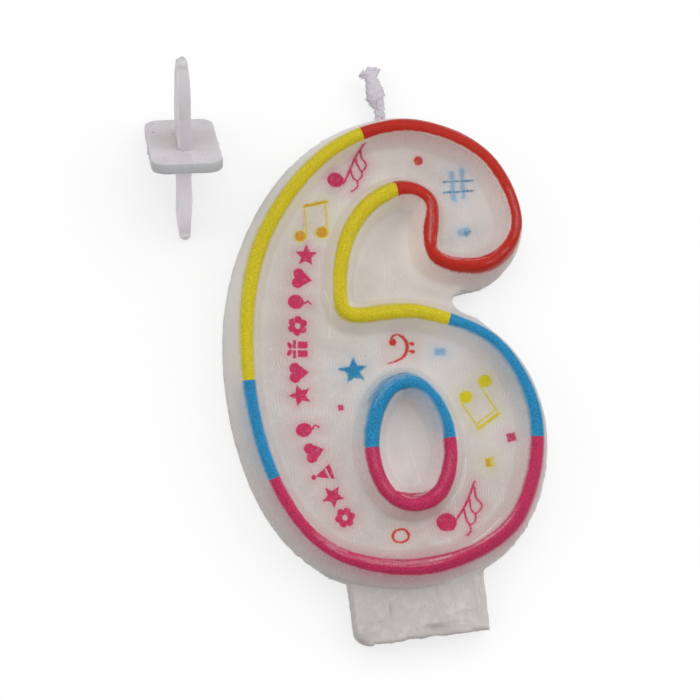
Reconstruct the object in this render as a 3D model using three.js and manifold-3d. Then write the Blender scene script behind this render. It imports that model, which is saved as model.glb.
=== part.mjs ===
// Number candle in the shape of a six, with the plastic holder that stands it on a cake.
// Millimetres, +Z up. The candle lies on its flat back: +Y runs towards the wick and +X to the
// right of the printed face. The origin is on the back, on the foot's centre line and at half
// the numeral's height. The holder lies loose beside the numeral's upper left.

import * as THREE from 'three';
import { mergeVertices } from 'three/addons/utils/BufferGeometryUtils.js';
import Module from 'manifold-3d';

const wasm = await Module();
wasm.setup();

// Numeral outline: the line along the middle of the raised rim, clockwise from the wick
const numeralWidth = 45.1;
const numeralHeight = 69.4;
const numeralAside = -0.65;
const outlineShares = [
  [0.155, 0.495], [0.422, 0.403], [0.495, 0.24], [0.382, 0.167], [0.201, 0.195],
  [0.198, 0.322], [0.112, 0.352], [-0.018, 0.318], [-0.115, 0.228], [-0.133, 0.088],
  [0.131, 0.066], [0.38, -0.022], [0.484, -0.206], [0.363, -0.42], [0.06, -0.499],
  [-0.256, -0.45], [-0.418, -0.318], [-0.496, -0.042], [-0.4, 0.26], [-0.124, 0.455],
];

// Closed counter of the six, an egg with its broad end down
const counterWidth = 12.5;
const counterHeight = 19.2;
const counterPlace = [0.04, -0.224];
const counterLean = THREE.MathUtils.degToRad(-1.2);
const counterTaper = -0.06;

// Heights above the flat back
const rimHeight = 9;
const floorHeight = 5;
const webHeight = 4.4;
const footHeight = 4.7;
const edgeHeight = 0.8;

// Raised rim and its sides
const landWidth = 2.1;
const crestWidth = 1.9;
const crestHeight = 0.9;
const crestJoint = 0.3;
const recessReach = 2;
const wallSpread = 2.4;
const wallBulge = 1.15;
const swellSpread = 2.75;
const swellBulge = 2.6;
const swellRise = 9;

// Web that closes the hook's gap, between these places along the outline, in knots
const webKnots = [3.3, 10.7];
const webBlendKnots = 0.5;
const webHollow = 3.2;

// Foot under the numeral
const footWidth = 21.3;
const footLength = 11.5;
const footCorner = 2.2;
const footBevel = 0.6;

// Wick: its run in the wax and the stub that stands out
const wickDiameter = 1.6;
const wickClearance = 0.3;
const wickTopPlace = 0.085;
const wickBottomPlace = 0.063;
const wickCover = 4;
const stubLength = 9;
const stubLean = -0.6;
const stubRise = 0.8;
const stubSway = 0.85;
const stubSpread = [1.05, 1.3, 1.65, 1.6, 1.3, 1.15, 1.6, 0.9];

// Holder: plate with a blade for the foot above it and a spike for the cake below it
const plateWidth = 11;
const plateLength = 21;
const plateThickness = 1.2;
const plateCorner = 2;
const bladeWidth = 8;
const bladeThickness = 1.9;
const bladeTip = 1.3;
const bladeBelly = 0.7;
const bladeBevel = 0.25;
const bladeLength = 13.6;
const spikeLength = 15.1;
const slotClearance = 0.3;
const holderAside = 5.9;
const holderAlong = -0.3;
const holderTurn = THREE.MathUtils.degToRad(-3.7);

// Fineness of the faceted surfaces
const stepsPerKnot = 7;
const counterSteps = 40;
const sideSteps = 6;
const crestSteps = 6;
const wickSides = 10;
const bevelSteps = 2;
const curveSteps = 6;
// Shortest step that a band's end may leave, as a share of the outline's own steps
const leastStep = 0.2;

// How much of a bend's radius a fillet on its inner side may fill
const bendShare = 0.85;
// How far a fillet's foot dips under the floor that it runs into
const filletDip = 0.08;
// How far a cutter reaches past the surface that it opens
const cutMargin = 2;

// Places along an outline are counted in knots, which wrap round at the last one.
const knots = outlineShares.length;
const outlineSteps = knots * stepsPerKnot;

// Colours round the rim, each from one place on its outline to the next
const rimBands = [
  { name: 'band_red_hook', from: 19.43, to: 26.13, colour: 0xb2241a },
  { name: 'band_yellow_inner', from: 6.13, to: 10.32, colour: 0xc8be1e },
  { name: 'band_blue_right', from: 10.32, to: 12.16, colour: 0x1482b9 },
  { name: 'band_magenta_bowl', from: 12.16, to: 16.2, colour: 0xc02c5e },
  { name: 'band_blue_left', from: 16.2, to: 16.98, colour: 0x1482b9 },
  { name: 'band_yellow_outer', from: 16.98, to: 19.43, colour: 0xc8be1e },
];
const counterBands = [
  { name: 'band_blue_counter', from: 0.75, to: 1.25, colour: 0x1482b9 },
  { name: 'band_magenta_counter', from: 0.25, to: 0.75, colour: 0xc02c5e },
];

// A place on the numeral from its shares of the width and the height
function onNumeral([across, up]) {
  return new THREE.Vector3(numeralAside + across * numeralWidth, up * numeralHeight, 0);
}

const outline = new THREE.CatmullRomCurve3(outlineShares.map(onNumeral), true, 'centripetal');

class CounterCurve extends THREE.Curve {
  getPoint(t) {
    const angle = t * 2 * Math.PI;
    const up = (counterHeight / 2) * Math.cos(angle);
    const across = (counterWidth / 2) * Math.sin(angle) * (1 + counterTaper * Math.cos(angle));
    const lean = new THREE.Vector3(across, up, 0);
    return lean.applyAxisAngle(new THREE.Vector3(0, 0, 1), counterLean).add(onNumeral(counterPlace));
  }
}

const counter = new CounterCurve();

function wrap(t) {
  return t - Math.floor(t);
}

// Where a section stands on an outline: its point, the way out and the bend towards that way
function stationAt(curve, t, span) {
  const behind = curve.getPoint(wrap(t - span));
  const point = curve.getPoint(wrap(t));
  const ahead = curve.getPoint(wrap(t + span));
  const back = point.clone().sub(behind);
  const on = ahead.clone().sub(point);
  const whole = ahead.clone().sub(behind);
  const turn = back.x * on.y - back.y * on.x;
  const bend = (2 * turn) / (back.length() * on.length() * whole.length());
  const outward = new THREE.Vector3(-whole.y, whole.x, 0).normalize();
  return { t, point, outward, bend };
}

// Stations from one place to another, both ends included, on the outline's own even steps between
function stationsBetween(curve, from, to, steps) {
  const least = leastStep / steps;
  const places = [from];
  for (let k = Math.floor(from * steps) + 1; k / steps < to - least; k += 1) {
    if (k / steps > from + least) places.push(k / steps);
  }
  places.push(to);
  return places.map((t) => stationAt(curve, t, 1 / steps));
}

function stationsRound(curve, steps) {
  return Array.from({ length: steps }, (_, k) => stationAt(curve, k / steps, 1 / steps));
}

// A section's point, held back where the outline bends too tightly round that side
function placed(station, [reach, height]) {
  let along = reach;
  if (reach * station.bend > 0) {
    const room = bendShare / Math.abs(station.bend);
    along = Math.sign(reach) * Math.min(Math.abs(reach), room);
  }
  const point = station.point.clone().addScaledVector(station.outward, along);
  point.z = height;
  return point;
}

// Skin over rings of points, either closed on itself or shut with a fan at each end
function skin(rings, closed) {
  const sides = rings[0].length;
  const index = [];
  const spans = closed ? rings.length : rings.length - 1;
  for (let i = 0; i < spans; i += 1) {
    const here = i * sides;
    const next = ((i + 1) % rings.length) * sides;
    for (let j = 0; j < sides; j += 1) {
      const k = (j + 1) % sides;
      index.push(here + j, next + j, next + k, here + j, next + k, here + k);
    }
  }
  if (!closed) {
    const last = (rings.length - 1) * sides;
    for (let j = 1; j < sides - 1; j += 1) {
      index.push(0, j, j + 1, last, last + j + 1, last + j);
    }
  }
  const geometry = new THREE.BufferGeometry();
  geometry.setFromPoints(rings.flat());
  geometry.setIndex(index);
  return geometry;
}

function toSolid(geometry) {
  const bare = geometry.clone();
  bare.deleteAttribute('normal');
  bare.deleteAttribute('uv');
  const merged = mergeVertices(bare);
  const mesh = new wasm.Mesh({
    numProp: 3,
    vertProperties: new Float32Array(merged.attributes.position.array),
    triVerts: new Uint32Array(merged.index.array),
  });
  return new wasm.Manifold(mesh);
}

function toGeometry(solid) {
  const { vertProperties, triVerts } = solid.getMesh();
  const geometry = new THREE.BufferGeometry();
  geometry.setAttribute('position', new THREE.BufferAttribute(vertProperties, 3));
  geometry.setIndex(new THREE.BufferAttribute(triVerts, 1));
  geometry.computeVertexNormals();
  return geometry;
}

function joined(geometries) {
  return geometries.map(toSolid).reduce((whole, next) => whole.add(next));
}

// Flat plate of one outline, from the back up to a height, with an opening where one is given
function slab(edge, height, opening) {
  const flat = (points) => points.map(({ x, y }) => new THREE.Vector2(x, y));
  const shape = new THREE.Shape(flat(edge));
  if (opening) shape.holes.push(new THREE.Path(flat(opening).reverse()));
  return new THREE.ExtrudeGeometry(shape, { depth: height, bevelEnabled: false });
}

// Sides of the rim, from the edge of its flat land down to the back

// Hollow curve that runs out into a floor
function recessSide(floor) {
  const points = [];
  const foot = floor - filletDip;
  for (let k = 0; k <= sideSteps; k += 1) {
    const share = k / sideSteps;
    const fall = (1 + Math.cos(Math.PI * share)) / 2;
    points.push([landWidth / 2 + recessReach * share, foot + (rimHeight - foot) * fall]);
  }
  points.push([landWidth / 2 + recessReach, 0]);
  return points;
}

// Drafted outer wall: a bulge of 1 is straight, 2 is a quarter ellipse and more is fuller
function outerSide(spread, bulge) {
  const points = [];
  for (let k = 0; k <= sideSteps; k += 1) {
    const angle = (Math.PI / 2) * (k / sideSteps);
    const out = Math.sin(angle) ** (2 / bulge);
    const up = Math.cos(angle) ** (2 / bulge);
    points.push([landWidth / 2 + spread * out, edgeHeight + (rimHeight - edgeHeight) * up]);
  }
  points.push([landWidth / 2 + spread, 0]);
  return points;
}

function mixedSide(first, second, share) {
  return first.map(([reach, height], k) => [
    THREE.MathUtils.lerp(reach, second[k][0], share),
    THREE.MathUtils.lerp(height, second[k][1], share),
  ]);
}

// Bar under the land, swept round an outline: outer side going down, inner side coming up
function rimBar(stations, outsideOf, insideSide) {
  const inside = insideSide.map(([reach, height]) => [-reach, height]).reverse();
  const rings = stations.map((station) => {
    const section = [...outsideOf(station), ...inside];
    return section.map((point) => placed(station, point));
  });
  return skin(rings, true);
}

// How much of the web's side a station of the outline has, from none to all
function webShare({ t }) {
  const place = t * knots;
  const after = (place - webKnots[0]) / webBlendKnots;
  const before = (webKnots[1] - place) / webBlendKnots;
  return THREE.MathUtils.smoothstep(Math.min(after, before), 0, 1);
}

// How far the wall has swelled towards the foot, from none to all
function swellShare({ point }) {
  return THREE.MathUtils.smoothstep(-point.y, numeralHeight / 2 - swellRise, numeralHeight / 2);
}

function numeralRim() {
  const wall = outerSide(wallSpread, wallBulge);
  const swell = outerSide(swellSpread, swellBulge);
  const web = recessSide(webHeight);
  const outsideOf = (station) => {
    const outer = mixedSide(wall, swell, swellShare(station));
    return mixedSide(outer, web, webShare(station));
  };
  return rimBar(stationsRound(outline, outlineSteps), outsideOf, recessSide(floorHeight));
}

function counterRim() {
  const channel = recessSide(floorHeight);
  const stations = stationsRound(counter, counterSteps);
  return rimBar(stations, () => channel, recessSide(webHeight));
}

// Floor of the printed stroke, with the counter left open
function strokeFloor() {
  const edge = stationsRound(outline, outlineSteps).map(({ point }) => point);
  const hole = stationsRound(counter, counterSteps).map(({ point }) => point);
  return slab(edge, floorHeight, hole);
}

function counterWeb() {
  const edge = stationsRound(counter, counterSteps).map(({ point }) => point);
  return slab(edge, webHeight);
}

// Web in the hook's gap, with a hollow free edge at the notch
function gapWeb() {
  const [from, to] = webKnots.map((place) => place / knots);
  const stations = stationsBetween(outline, from, to, outlineSteps);
  const edge = stations.map(({ point }) => point);
  const start = edge[0];
  const end = edge[edge.length - 1];
  const middle = start.clone().add(end).multiplyScalar(0.5);
  middle.x -= webHollow;
  const notch = new THREE.QuadraticBezierCurve3(end, middle, start);
  const free = notch.getPoints(curveSteps).slice(1, -1);
  return slab([...edge, ...free], webHeight);
}

const footRoot = -numeralHeight / 2;
const footEnd = footRoot - footLength;

// Foot with round lower corners and a softened front edge, rooted in the stroke's floor
function foot() {
  const half = footWidth / 2;
  const root = footRoot + footLength / 2;
  const shape = new THREE.Shape();
  shape.moveTo(half, root);
  shape.lineTo(-half, root);
  shape.lineTo(-half, footEnd + footCorner);
  shape.quadraticCurveTo(-half, footEnd, -half + footCorner, footEnd);
  shape.lineTo(half - footCorner, footEnd);
  shape.quadraticCurveTo(half, footEnd, half, footEnd + footCorner);
  shape.closePath();
  const block = new THREE.ExtrudeGeometry(shape, {
    depth: footHeight - footBevel + cutMargin,
    bevelThickness: footBevel,
    bevelSize: footBevel,
    bevelOffset: -footBevel,
    bevelSegments: bevelSteps,
    curveSegments: curveSteps,
  });
  block.translate(0, 0, -cutMargin);
  const below = new THREE.BoxGeometry(2 * footWidth, 4 * footLength, 2 * cutMargin);
  below.translate(0, footEnd, -cutMargin);
  return toSolid(block).subtract(toSolid(below));
}

// Blade in its own plane, wide at the plate and rounded at the tip
function bladeGeometry(length, grow) {
  const half = bladeWidth / 2 + grow;
  const tip = bladeTip + grow;
  const reach = length + grow;
  const shape = new THREE.Shape();
  shape.moveTo(half, 0);
  shape.quadraticCurveTo(half, reach * bladeBelly, tip, reach - tip);
  shape.absarc(0, reach - tip, tip, 0, Math.PI, false);
  shape.quadraticCurveTo(-half, reach * bladeBelly, -half, 0);
  shape.closePath();
  const thickness = bladeThickness + 2 * grow;
  const geometry = new THREE.ExtrudeGeometry(shape, {
    depth: thickness - 2 * bladeBevel,
    bevelThickness: bladeBevel,
    bevelSize: bladeBevel,
    bevelOffset: -bladeBevel,
    bevelSegments: 1,
    curveSegments: curveSteps,
  });
  return geometry.translate(0, 0, bladeBevel - thickness / 2);
}

// Slot in the foot's end that takes the blade
function bladeSlot() {
  const slot = bladeGeometry(bladeLength + cutMargin, slotClearance);
  return slot.translate(0, footEnd - cutMargin, footHeight / 2);
}

// The wick's run through the wax, from its buried end to where it leaves the top
const wickHeight = webHeight / 2;
const wickBottom = new THREE.Vector3(
  numeralAside + wickBottomPlace * numeralWidth,
  footEnd + bladeLength + slotClearance + wickCover,
  wickHeight,
);
const wickTop = new THREE.Vector3(
  numeralAside + wickTopPlace * numeralWidth,
  numeralHeight / 2 + landWidth / 2 + wallSpread,
  wickHeight,
);

function wickBore() {
  const way = wickTop.clone().sub(wickBottom).normalize();
  const start = wickBottom.clone().addScaledVector(way, -wickClearance);
  const end = wickTop.clone().addScaledVector(way, cutMargin);
  const section = new THREE.Shape();
  section.absarc(0, 0, wickDiameter / 2 + wickClearance, 0, 2 * Math.PI, false);
  const path = new THREE.LineCurve3(start, end);
  return new THREE.ExtrudeGeometry(section, {
    steps: 1,
    extrudePath: path,
    curveSegments: wickSides,
  });
}

function waxBody() {
  const numeral = joined([numeralRim(), counterRim(), strokeFloor(), counterWeb(), gapWeb()]);
  const casting = numeral.add(foot());
  return toGeometry(casting.subtract(toSolid(wickBore())).subtract(toSolid(bladeSlot())));
}

// Wick: a round cord in the wax, then a stub that leans, loosens and splays
function wick() {
  const stub = stubSpread.map((spread, k) => {
    const share = (k + 1) / stubSpread.length;
    const sway = stubLean * Math.sin(Math.PI * stubSway * share);
    const centre = wickTop.clone().add(new THREE.Vector3(sway, stubLength * share, stubRise * share));
    return { centre, across: (wickDiameter / 2) * spread };
  });
  const stations = [
    { centre: wickBottom, across: wickDiameter / 2 },
    { centre: wickTop, across: wickDiameter / 2 },
    ...stub,
  ];
  const rings = stations.map(({ centre, across }) => {
    const thick = Math.min(across, wickDiameter / 2);
    return Array.from({ length: wickSides }, (_, j) => {
      const angle = (-2 * Math.PI * j) / wickSides;
      const x = centre.x + across * Math.cos(angle);
      return new THREE.Vector3(x, centre.y, centre.z - thick * Math.sin(angle));
    });
  });
  return skin(rings, false);
}

// How far along an outline a real distance reaches, at one place of it
function shareOf(distance, curve, t, steps) {
  const here = curve.getPoint(wrap(t));
  const next = curve.getPoint(wrap(t + 1 / steps));
  return distance / (here.distanceTo(next) * steps);
}

// One colour's stretch of the rim's crest, seated on the land
function crestBand(curve, from, to, steps) {
  const start = from + shareOf(crestJoint / 2, curve, from, steps);
  const end = to - shareOf(crestJoint / 2, curve, to, steps);
  const rings = stationsBetween(curve, start, end, steps).map((station) =>
    Array.from({ length: crestSteps + 1 }, (_, k) => {
      const angle = (Math.PI * k) / crestSteps;
      const reach = (-crestWidth / 2) * Math.cos(angle);
      return placed(station, [reach, rimHeight + crestHeight * Math.sin(angle)]);
    }));
  return skin(rings, false);
}

// Plate, blade and spike of the holder, with the spike's axis along Y and the plate upright
function holder() {
  const half = new THREE.Vector2(plateWidth / 2, plateLength / 2);
  const shape = new THREE.Shape();
  shape.absarc(half.x - plateCorner, half.y - plateCorner, plateCorner, 0, Math.PI / 2, false);
  shape.absarc(plateCorner - half.x, half.y - plateCorner, plateCorner, Math.PI / 2, Math.PI, false);
  shape.absarc(plateCorner - half.x, plateCorner - half.y, plateCorner, Math.PI, 1.5 * Math.PI, false);
  shape.absarc(half.x - plateCorner, plateCorner - half.y, plateCorner, 1.5 * Math.PI, 2 * Math.PI, false);
  shape.closePath();
  const plate = new THREE.ExtrudeGeometry(shape, {
    depth: plateThickness,
    bevelEnabled: false,
    curveSegments: curveSteps,
  });
  plate.translate(0, 0, -plateThickness / 2);
  plate.rotateX(Math.PI / 2);
  const blade = bladeGeometry(plateThickness / 2 + bladeLength, 0).rotateY(Math.PI / 2);
  const spike = bladeGeometry(plateThickness / 2 + spikeLength, 0).rotateY(Math.PI / 2);
  spike.rotateZ(Math.PI);
  return toGeometry(joined([plate, blade, spike]));
}

// The holder rests on its plate's long edge and on the spike's round tip
function holderTilt() {
  const toTip = spikeLength - bladeTip;
  const toEdge = plateLength / 2;
  return Math.acos(bladeTip / Math.hypot(toTip, toEdge)) - Math.atan2(toTip, toEdge);
}

function finish(colour, roughness) {
  return new THREE.MeshStandardMaterial({ color: colour, roughness, metalness: 0 });
}

function part(name, geometry, material) {
  const mesh = new THREE.Mesh(geometry, material);
  mesh.name = name;
  return mesh;
}

const candle = new THREE.Group();
candle.add(part('wax_body', waxBody(), finish(0xcdc6c0, 0.45)));
candle.add(part('wick', wick(), finish(0xc3bec5, 0.95)));
for (const { name, from, to, colour } of rimBands) {
  const band = crestBand(outline, from / knots, to / knots, outlineSteps);
  candle.add(part(name, band, finish(colour, 0.5)));
}
for (const { name, from, to, colour } of counterBands) {
  candle.add(part(name, crestBand(counter, from, to, counterSteps), finish(colour, 0.5)));
}

const holderMesh = part('holder', holder(), finish(0xc3bec5, 0.4));
const tilt = holderTilt();
holderMesh.rotation.x = tilt;
holderMesh.position.z = (plateLength / 2) * Math.cos(tilt) + (plateThickness / 2) * Math.sin(tilt);

const holderSpot = new THREE.Group();
holderSpot.rotation.z = holderTurn;
holderSpot.position.x = numeralAside - numeralWidth / 2 - holderAside;
holderSpot.position.y = numeralHeight / 2 + holderAlong;
holderSpot.add(holderMesh);

const model = new THREE.Group();
model.add(candle, holderSpot);

export default model;
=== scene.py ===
import math

import bpy
import numpy as np
from mathutils import Matrix, Vector, kdtree
from mathutils.geometry import delaunay_2d_cdt


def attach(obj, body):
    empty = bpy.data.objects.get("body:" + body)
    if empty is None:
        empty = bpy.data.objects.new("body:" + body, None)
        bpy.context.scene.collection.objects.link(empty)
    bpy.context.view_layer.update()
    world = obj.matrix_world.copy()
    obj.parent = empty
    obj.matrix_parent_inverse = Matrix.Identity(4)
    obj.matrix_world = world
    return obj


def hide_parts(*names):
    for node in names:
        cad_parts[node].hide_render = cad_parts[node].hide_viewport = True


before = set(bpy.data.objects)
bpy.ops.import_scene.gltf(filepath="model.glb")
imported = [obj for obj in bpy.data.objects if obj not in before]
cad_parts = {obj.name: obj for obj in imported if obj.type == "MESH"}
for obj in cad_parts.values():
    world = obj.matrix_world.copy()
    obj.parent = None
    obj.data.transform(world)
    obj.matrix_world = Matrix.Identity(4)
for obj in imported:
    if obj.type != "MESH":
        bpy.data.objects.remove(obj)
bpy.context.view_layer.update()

# Sizes here are in millimetres. MM turns them into Blender's metres.
MM = 0.001

# Numeral outline: the middle of the raised rim, clockwise from the wick, as shares of its size
NUMERAL_WIDTH = 45.1
NUMERAL_HEIGHT = 69.4
NUMERAL_ASIDE = -0.65
OUTLINE_SHARES = [
    (0.155, 0.495), (0.422, 0.403), (0.495, 0.24), (0.382, 0.167), (0.201, 0.195),
    (0.198, 0.322), (0.112, 0.352), (-0.018, 0.318), (-0.115, 0.228), (-0.133, 0.088),
    (0.131, 0.066), (0.38, -0.022), (0.484, -0.206), (0.363, -0.42), (0.06, -0.499),
    (-0.256, -0.45), (-0.418, -0.318), (-0.496, -0.042), (-0.4, 0.26), (-0.124, 0.455),
]
KNOTS = len(OUTLINE_SHARES)

# Counter of the six
COUNTER_WIDTH = 12.5
COUNTER_HEIGHT = 19.2
COUNTER_PLACE = (0.04, -0.224)
COUNTER_LEAN = math.radians(-1.2)
COUNTER_TAPER = -0.06

# Heights above the flat back
RIM_TOP = 9.9
LAND_HEIGHT = 9.0
FLOOR_HEIGHT = 5.0
WEB_HEIGHT = 4.4
FOOT_HEIGHT = 4.7
EDGE_HEIGHT = 0.8
BACK_BEVEL = 0.12
LOWEST_PRINT = 0.7

# Section across the rim, as reaches to either side of its middle
BAND_HALF = 1.0
SEAT_HALF = 0.96
CROWN_RADIUS = 1.15
WALL_START = 9.42
WALL_SLOPE = 2.9
CORNER_SOFT = 0.06
FLOOR_SOFT = 0.42
WALL_BULGE = 1.15
SWELL_BULGE = 2.6
SWELL_RISE = 9.0
WEB_KNOTS = (3.0, 11.0)
WEB_BLEND_KNOTS = 0.45

# Reach of the outer wall's foot, by place on the outline in knots
WALL_REACHES = [
    (0.0, 3.15), (0.6, 3.62), (1.2, 3.3), (1.5, 3.2), (2.0, 2.65), (2.6, 2.75), (3.0, 3.1), (3.42, 3.5),
    (10.62, 2.8), (10.9, 2.7), (11.4, 3.25), (12.0, 3.42), (12.6, 3.72), (13.0, 3.5), (13.5, 3.95),
    (14.2, 3.9), (14.9, 3.7), (15.2, 3.2), (15.6, 3.25), (16.2, 3.2), (17.4, 3.2), (18.0, 2.65),
    (18.6, 2.97), (19.4, 2.95),
]

# Spacing of the fine flow lines in the wax
FLOW_SPACING = 0.42

# Stretches of the outline, in knots, where the wall's foot is crumbly
ROUGH_BASES = [(12.3, 13.3), (14.7, 15.5), (3.0, 3.4), (18.6, 19.2)]

# Free edge of the web in the notch between hook and bowl
NOTCH_EDGE = [(13.8, 7.95), (12.4, 7.7), (11.5, 7.05), (11.25, 6.2), (11.8, 5.3), (12.9, 4.3)]
NOTCH_PLACES = (3.4, 10.66)

# Foot, which begins where the numeral ends
FOOT_WIDTH = 21.3
FOOT_LENGTH = 11.5
NUMERAL_END = -NUMERAL_HEIGHT / 2
FOOT_END = NUMERAL_END - FOOT_LENGTH
FOOT_CORNER = 2.2
FOOT_SLANT = 0.35
FOOT_EDGE = 0.7
FOOT_RIGHT = (0.2, 0.37)
FOOT_LEFT = (0.42, 0.25)
FOOT_GAP = 3.95
FOOT_STEP = 0.25
CREASE_RISE = 0.12

# Fine folds in the web beside the hook's end
FOLD_SPACING = 0.85
FOLD_REACH = 4.2
FOLD_SPREAD = 1.1
FOLD_RISE = 0.045

# Slot in the foot's end for the holder's blade
SLOT_WIDTH = 8.6
SLOT_HEIGHT = 2.5
SLOT_DEPTH = 13.9
SLOT_MIDDLE = 2.35

# Ripples of the surfaces and of the print's edges: rise, size of a feature, and seed
FLOOR_RIPPLES = [(0.035, 4.0, 5), (0.012, 0.9, 6)]
WEB_RIPPLES = [(0.05, 3.5, 7), (0.02, 1.0, 8)]
WALL_RIPPLES = [(0.04, 1.3, 3), (0.03, 0.45, 4)]
FOOT_RIPPLES = [(0.14, 2.6, 31), (0.12, 1.0, 32), (0.04, 0.4, 33)]
FOOT_END_RIPPLES = [(0.1, 0.8, 21), (0.05, 0.33, 24)]
CREST_RIPPLES = [(0.035, 0.2, 11), (0.03, 0.6, 12)]
MOTIF_RIPPLES = [(0.05, 0.2, 16), (0.02, 0.5, 17)]
PLATE_RIPPLES = [(0.07, 1.1, 61), (0.03, 0.4, 62)]

# Spacing of the mesh, which is finer beside printed edges, and samples of the lines that it follows
STATION_STEP = 0.21
FLOOR_STEP = 0.22
INK_STEP = 0.11
INK_MARGIN = 0.16
PLATE_STEP = 0.3
PLATE_INK_STEP = 0.09
PLATE_INK_MARGIN = 0.18
TRIANGLE_RISE = 0.866
KNOT_SAMPLES = 110
COUNTER_SAMPLES = 400
CURVE_SAMPLES = 24

# Edges sharper than this stay sharp in the wax
SHARP_ANGLE = math.radians(50)

# Distance from a sampled line within which a spot's distance is measured square to it
CLOSE_BY = 0.3

# Colours of the print and the materials, as sRGB values
WAX = (200, 193, 188)
WAX_CLOUD = (208, 202, 197)
WAX_FLECK = (186, 179, 175)
WAX_FLOW = (228, 223, 219)
WAX_PALE = (230, 226, 222)
INK_DARKER = (216, 208, 208)
INK_LIGHTER = (288, 306, 306)
RED = (175, 36, 24)
YELLOW = (196, 177, 30)
BLUE = (32, 123, 167)
MAGENTA = (178, 42, 82)
NOTE_PINK = (192, 30, 86)
SKY = (0, 121, 166)
THIN_SKY = (24, 147, 196)
LEMON = (206, 188, 4)
ORANGE = (202, 142, 12)
VERMILION = (197, 38, 24)
FOOT_GREY = (194, 189, 187)
FOOT_STREAK = (226, 224, 222)
# Painted light, standing for light through the wax, and painted shade on the wax
PAINTED_LIGHT = (238, 232, 228)
PAINTED_SHADE = (146, 120, 124)
SCRATCH = (246, 242, 238)
SPECK = (110, 84, 84)
PLASTIC = (211, 205, 211)
PLASTIC_CLOUD = (198, 194, 197)
PLASTIC_GRAIN = (190, 187, 190)
PLATE_MIDDLE = (202, 198, 190)
PLATE_EDGE = (178, 181, 183)
# Painted light on the holder's spike
SPIKE_PAINTED_LIGHT = (247, 241, 248)
# Painted light on the blade's left side
BLADE_SIDE_PAINTED_LIGHT = (226, 222, 220)
HOLDER_SPECK = (120, 50, 60)
PARTING = (220, 217, 220)
COTTON = (208, 203, 211)
COTTON_DARK = (194, 189, 198)
COTTON_FLECK = (190, 110, 118)

# Colours round the rim: node, slot, colour, first and last place in knots or turns
RIM_BANDS = [
    ("band_red_hook", "print_red", RED, 19.43, 26.15),
    ("band_yellow_inner", "print_yellow", YELLOW, 6.15, 10.34),
    ("band_blue_right", "print_blue", BLUE, 10.34, 12.16),
    ("band_magenta_bowl", "print_magenta", MAGENTA, 12.16, 16.2),
    ("band_blue_left", "print_blue", BLUE, 16.2, 16.98),
    ("band_yellow_outer", "print_yellow", YELLOW, 16.98, 19.43),
]
COUNTER_BANDS = [
    ("band_blue_counter", "print_blue", BLUE, 0.746, 1.246),
    ("band_magenta_counter", "print_magenta", MAGENTA, 0.246, 0.746),
]

# How far the print runs from the rim's middle, by place: inner edge and its softness, outer edge
# and its softness, and the tint it leaves on the inner and outer wall, which is partly ink and partly
# painted coloured light through the wax
PRINT_EDGES = [
    (0.0, 0.82, 0.14, 1.7, 0.3, 0.32, 0.3),
    (0.4, 0.7, 0.14, 1.8, 0.3, 0.3, 0.3),
    (0.7, 0.67, 0.14, 2.0, 0.35, 0.28, 0.35),
    (1.2, 0.72, 0.14, 2.0, 0.35, 0.24, 0.35),
    (1.6, 0.65, 0.14, 1.5, 0.3, 0.22, 0.25),
    (2.1, 0.75, 0.15, 1.1, 0.15, 0.22, 0.18),
    (2.4, 0.8, 0.2, 1.7, 0.2, 0.2, 0.25),
    (3.0, 1.1, 0.2, 1.5, 0.2, 0.2, 0.25),
    (3.6, 0.95, 0.2, 1.3, 0.15, 0.2, 0.22),
    (4.2, 0.9, 0.15, 1.05, 0.15, 0.18, 0.2),
    (4.5, 1.45, 0.15, 1.15, 0.15, 0.18, 0.2),
    (4.8, 1.55, 0.15, 0.75, 0.12, 0.2, 0.22),
    (5.4, 1.65, 0.15, 0.75, 0.12, 0.2, 0.22),
    (6.0, 1.65, 0.15, 1.0, 0.15, 0.16, 0.2),
    (6.5, 1.6, 0.15, 1.25, 0.2, 0.12, 0.16),
    (7.4, 1.35, 0.2, 1.3, 0.3, 0.12, 0.12),
    (8.2, 1.15, 0.2, 1.2, 0.3, 0.12, 0.12),
    (8.6, 1.0, 0.2, 1.3, 0.3, 0.12, 0.14),
    (9.0, 1.4, 0.2, 0.85, 0.3, 0.14, 0.14),
    (9.5, 1.15, 0.25, 1.75, 0.5, 0.14, 0.16),
    (10.2, 1.1, 0.25, 1.2, 0.5, 0.16, 0.2),
    (10.5, 0.9, 0.35, 0.9, 0.3, 0.2, 0.3),
    (11.3, 0.97, 0.6, 0.97, 0.2, 0.3, 0.45),
    (12.1, 1.1, 0.4, 1.3, 0.4, 0.2, 0.42),
    (12.75, 1.05, 0.3, 1.8, 0.6, 0.16, 0.35),
    (13.5, 0.95, 0.25, 1.65, 0.4, 0.18, 0.3),
    (14.0, 1.3, 0.25, 1.55, 0.25, 0.36, 0.42),
    (14.7, 1.1, 0.25, 1.2, 0.2, 0.34, 0.42),
    (15.5, 0.88, 0.2, 1.02, 0.25, 0.18, 0.28),
    (16.3, 1.0, 0.35, 1.0, 0.35, 0.1, 0.3),
    (16.8, 1.05, 0.35, 1.0, 0.4, 0.1, 0.25),
    (17.1, 1.1, 0.35, 1.05, 0.4, 0.08, 0.07),
    (17.9, 1.3, 0.35, 1.35, 0.5, 0.1, 0.08),
    (18.7, 1.2, 0.25, 1.25, 0.65, 0.14, 0.1),
    (19.4, 1.05, 0.15, 1.1, 0.3, 0.24, 0.14),
    (19.7, 0.92, 0.15, 1.05, 0.2, 0.28, 0.16),
]
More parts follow.
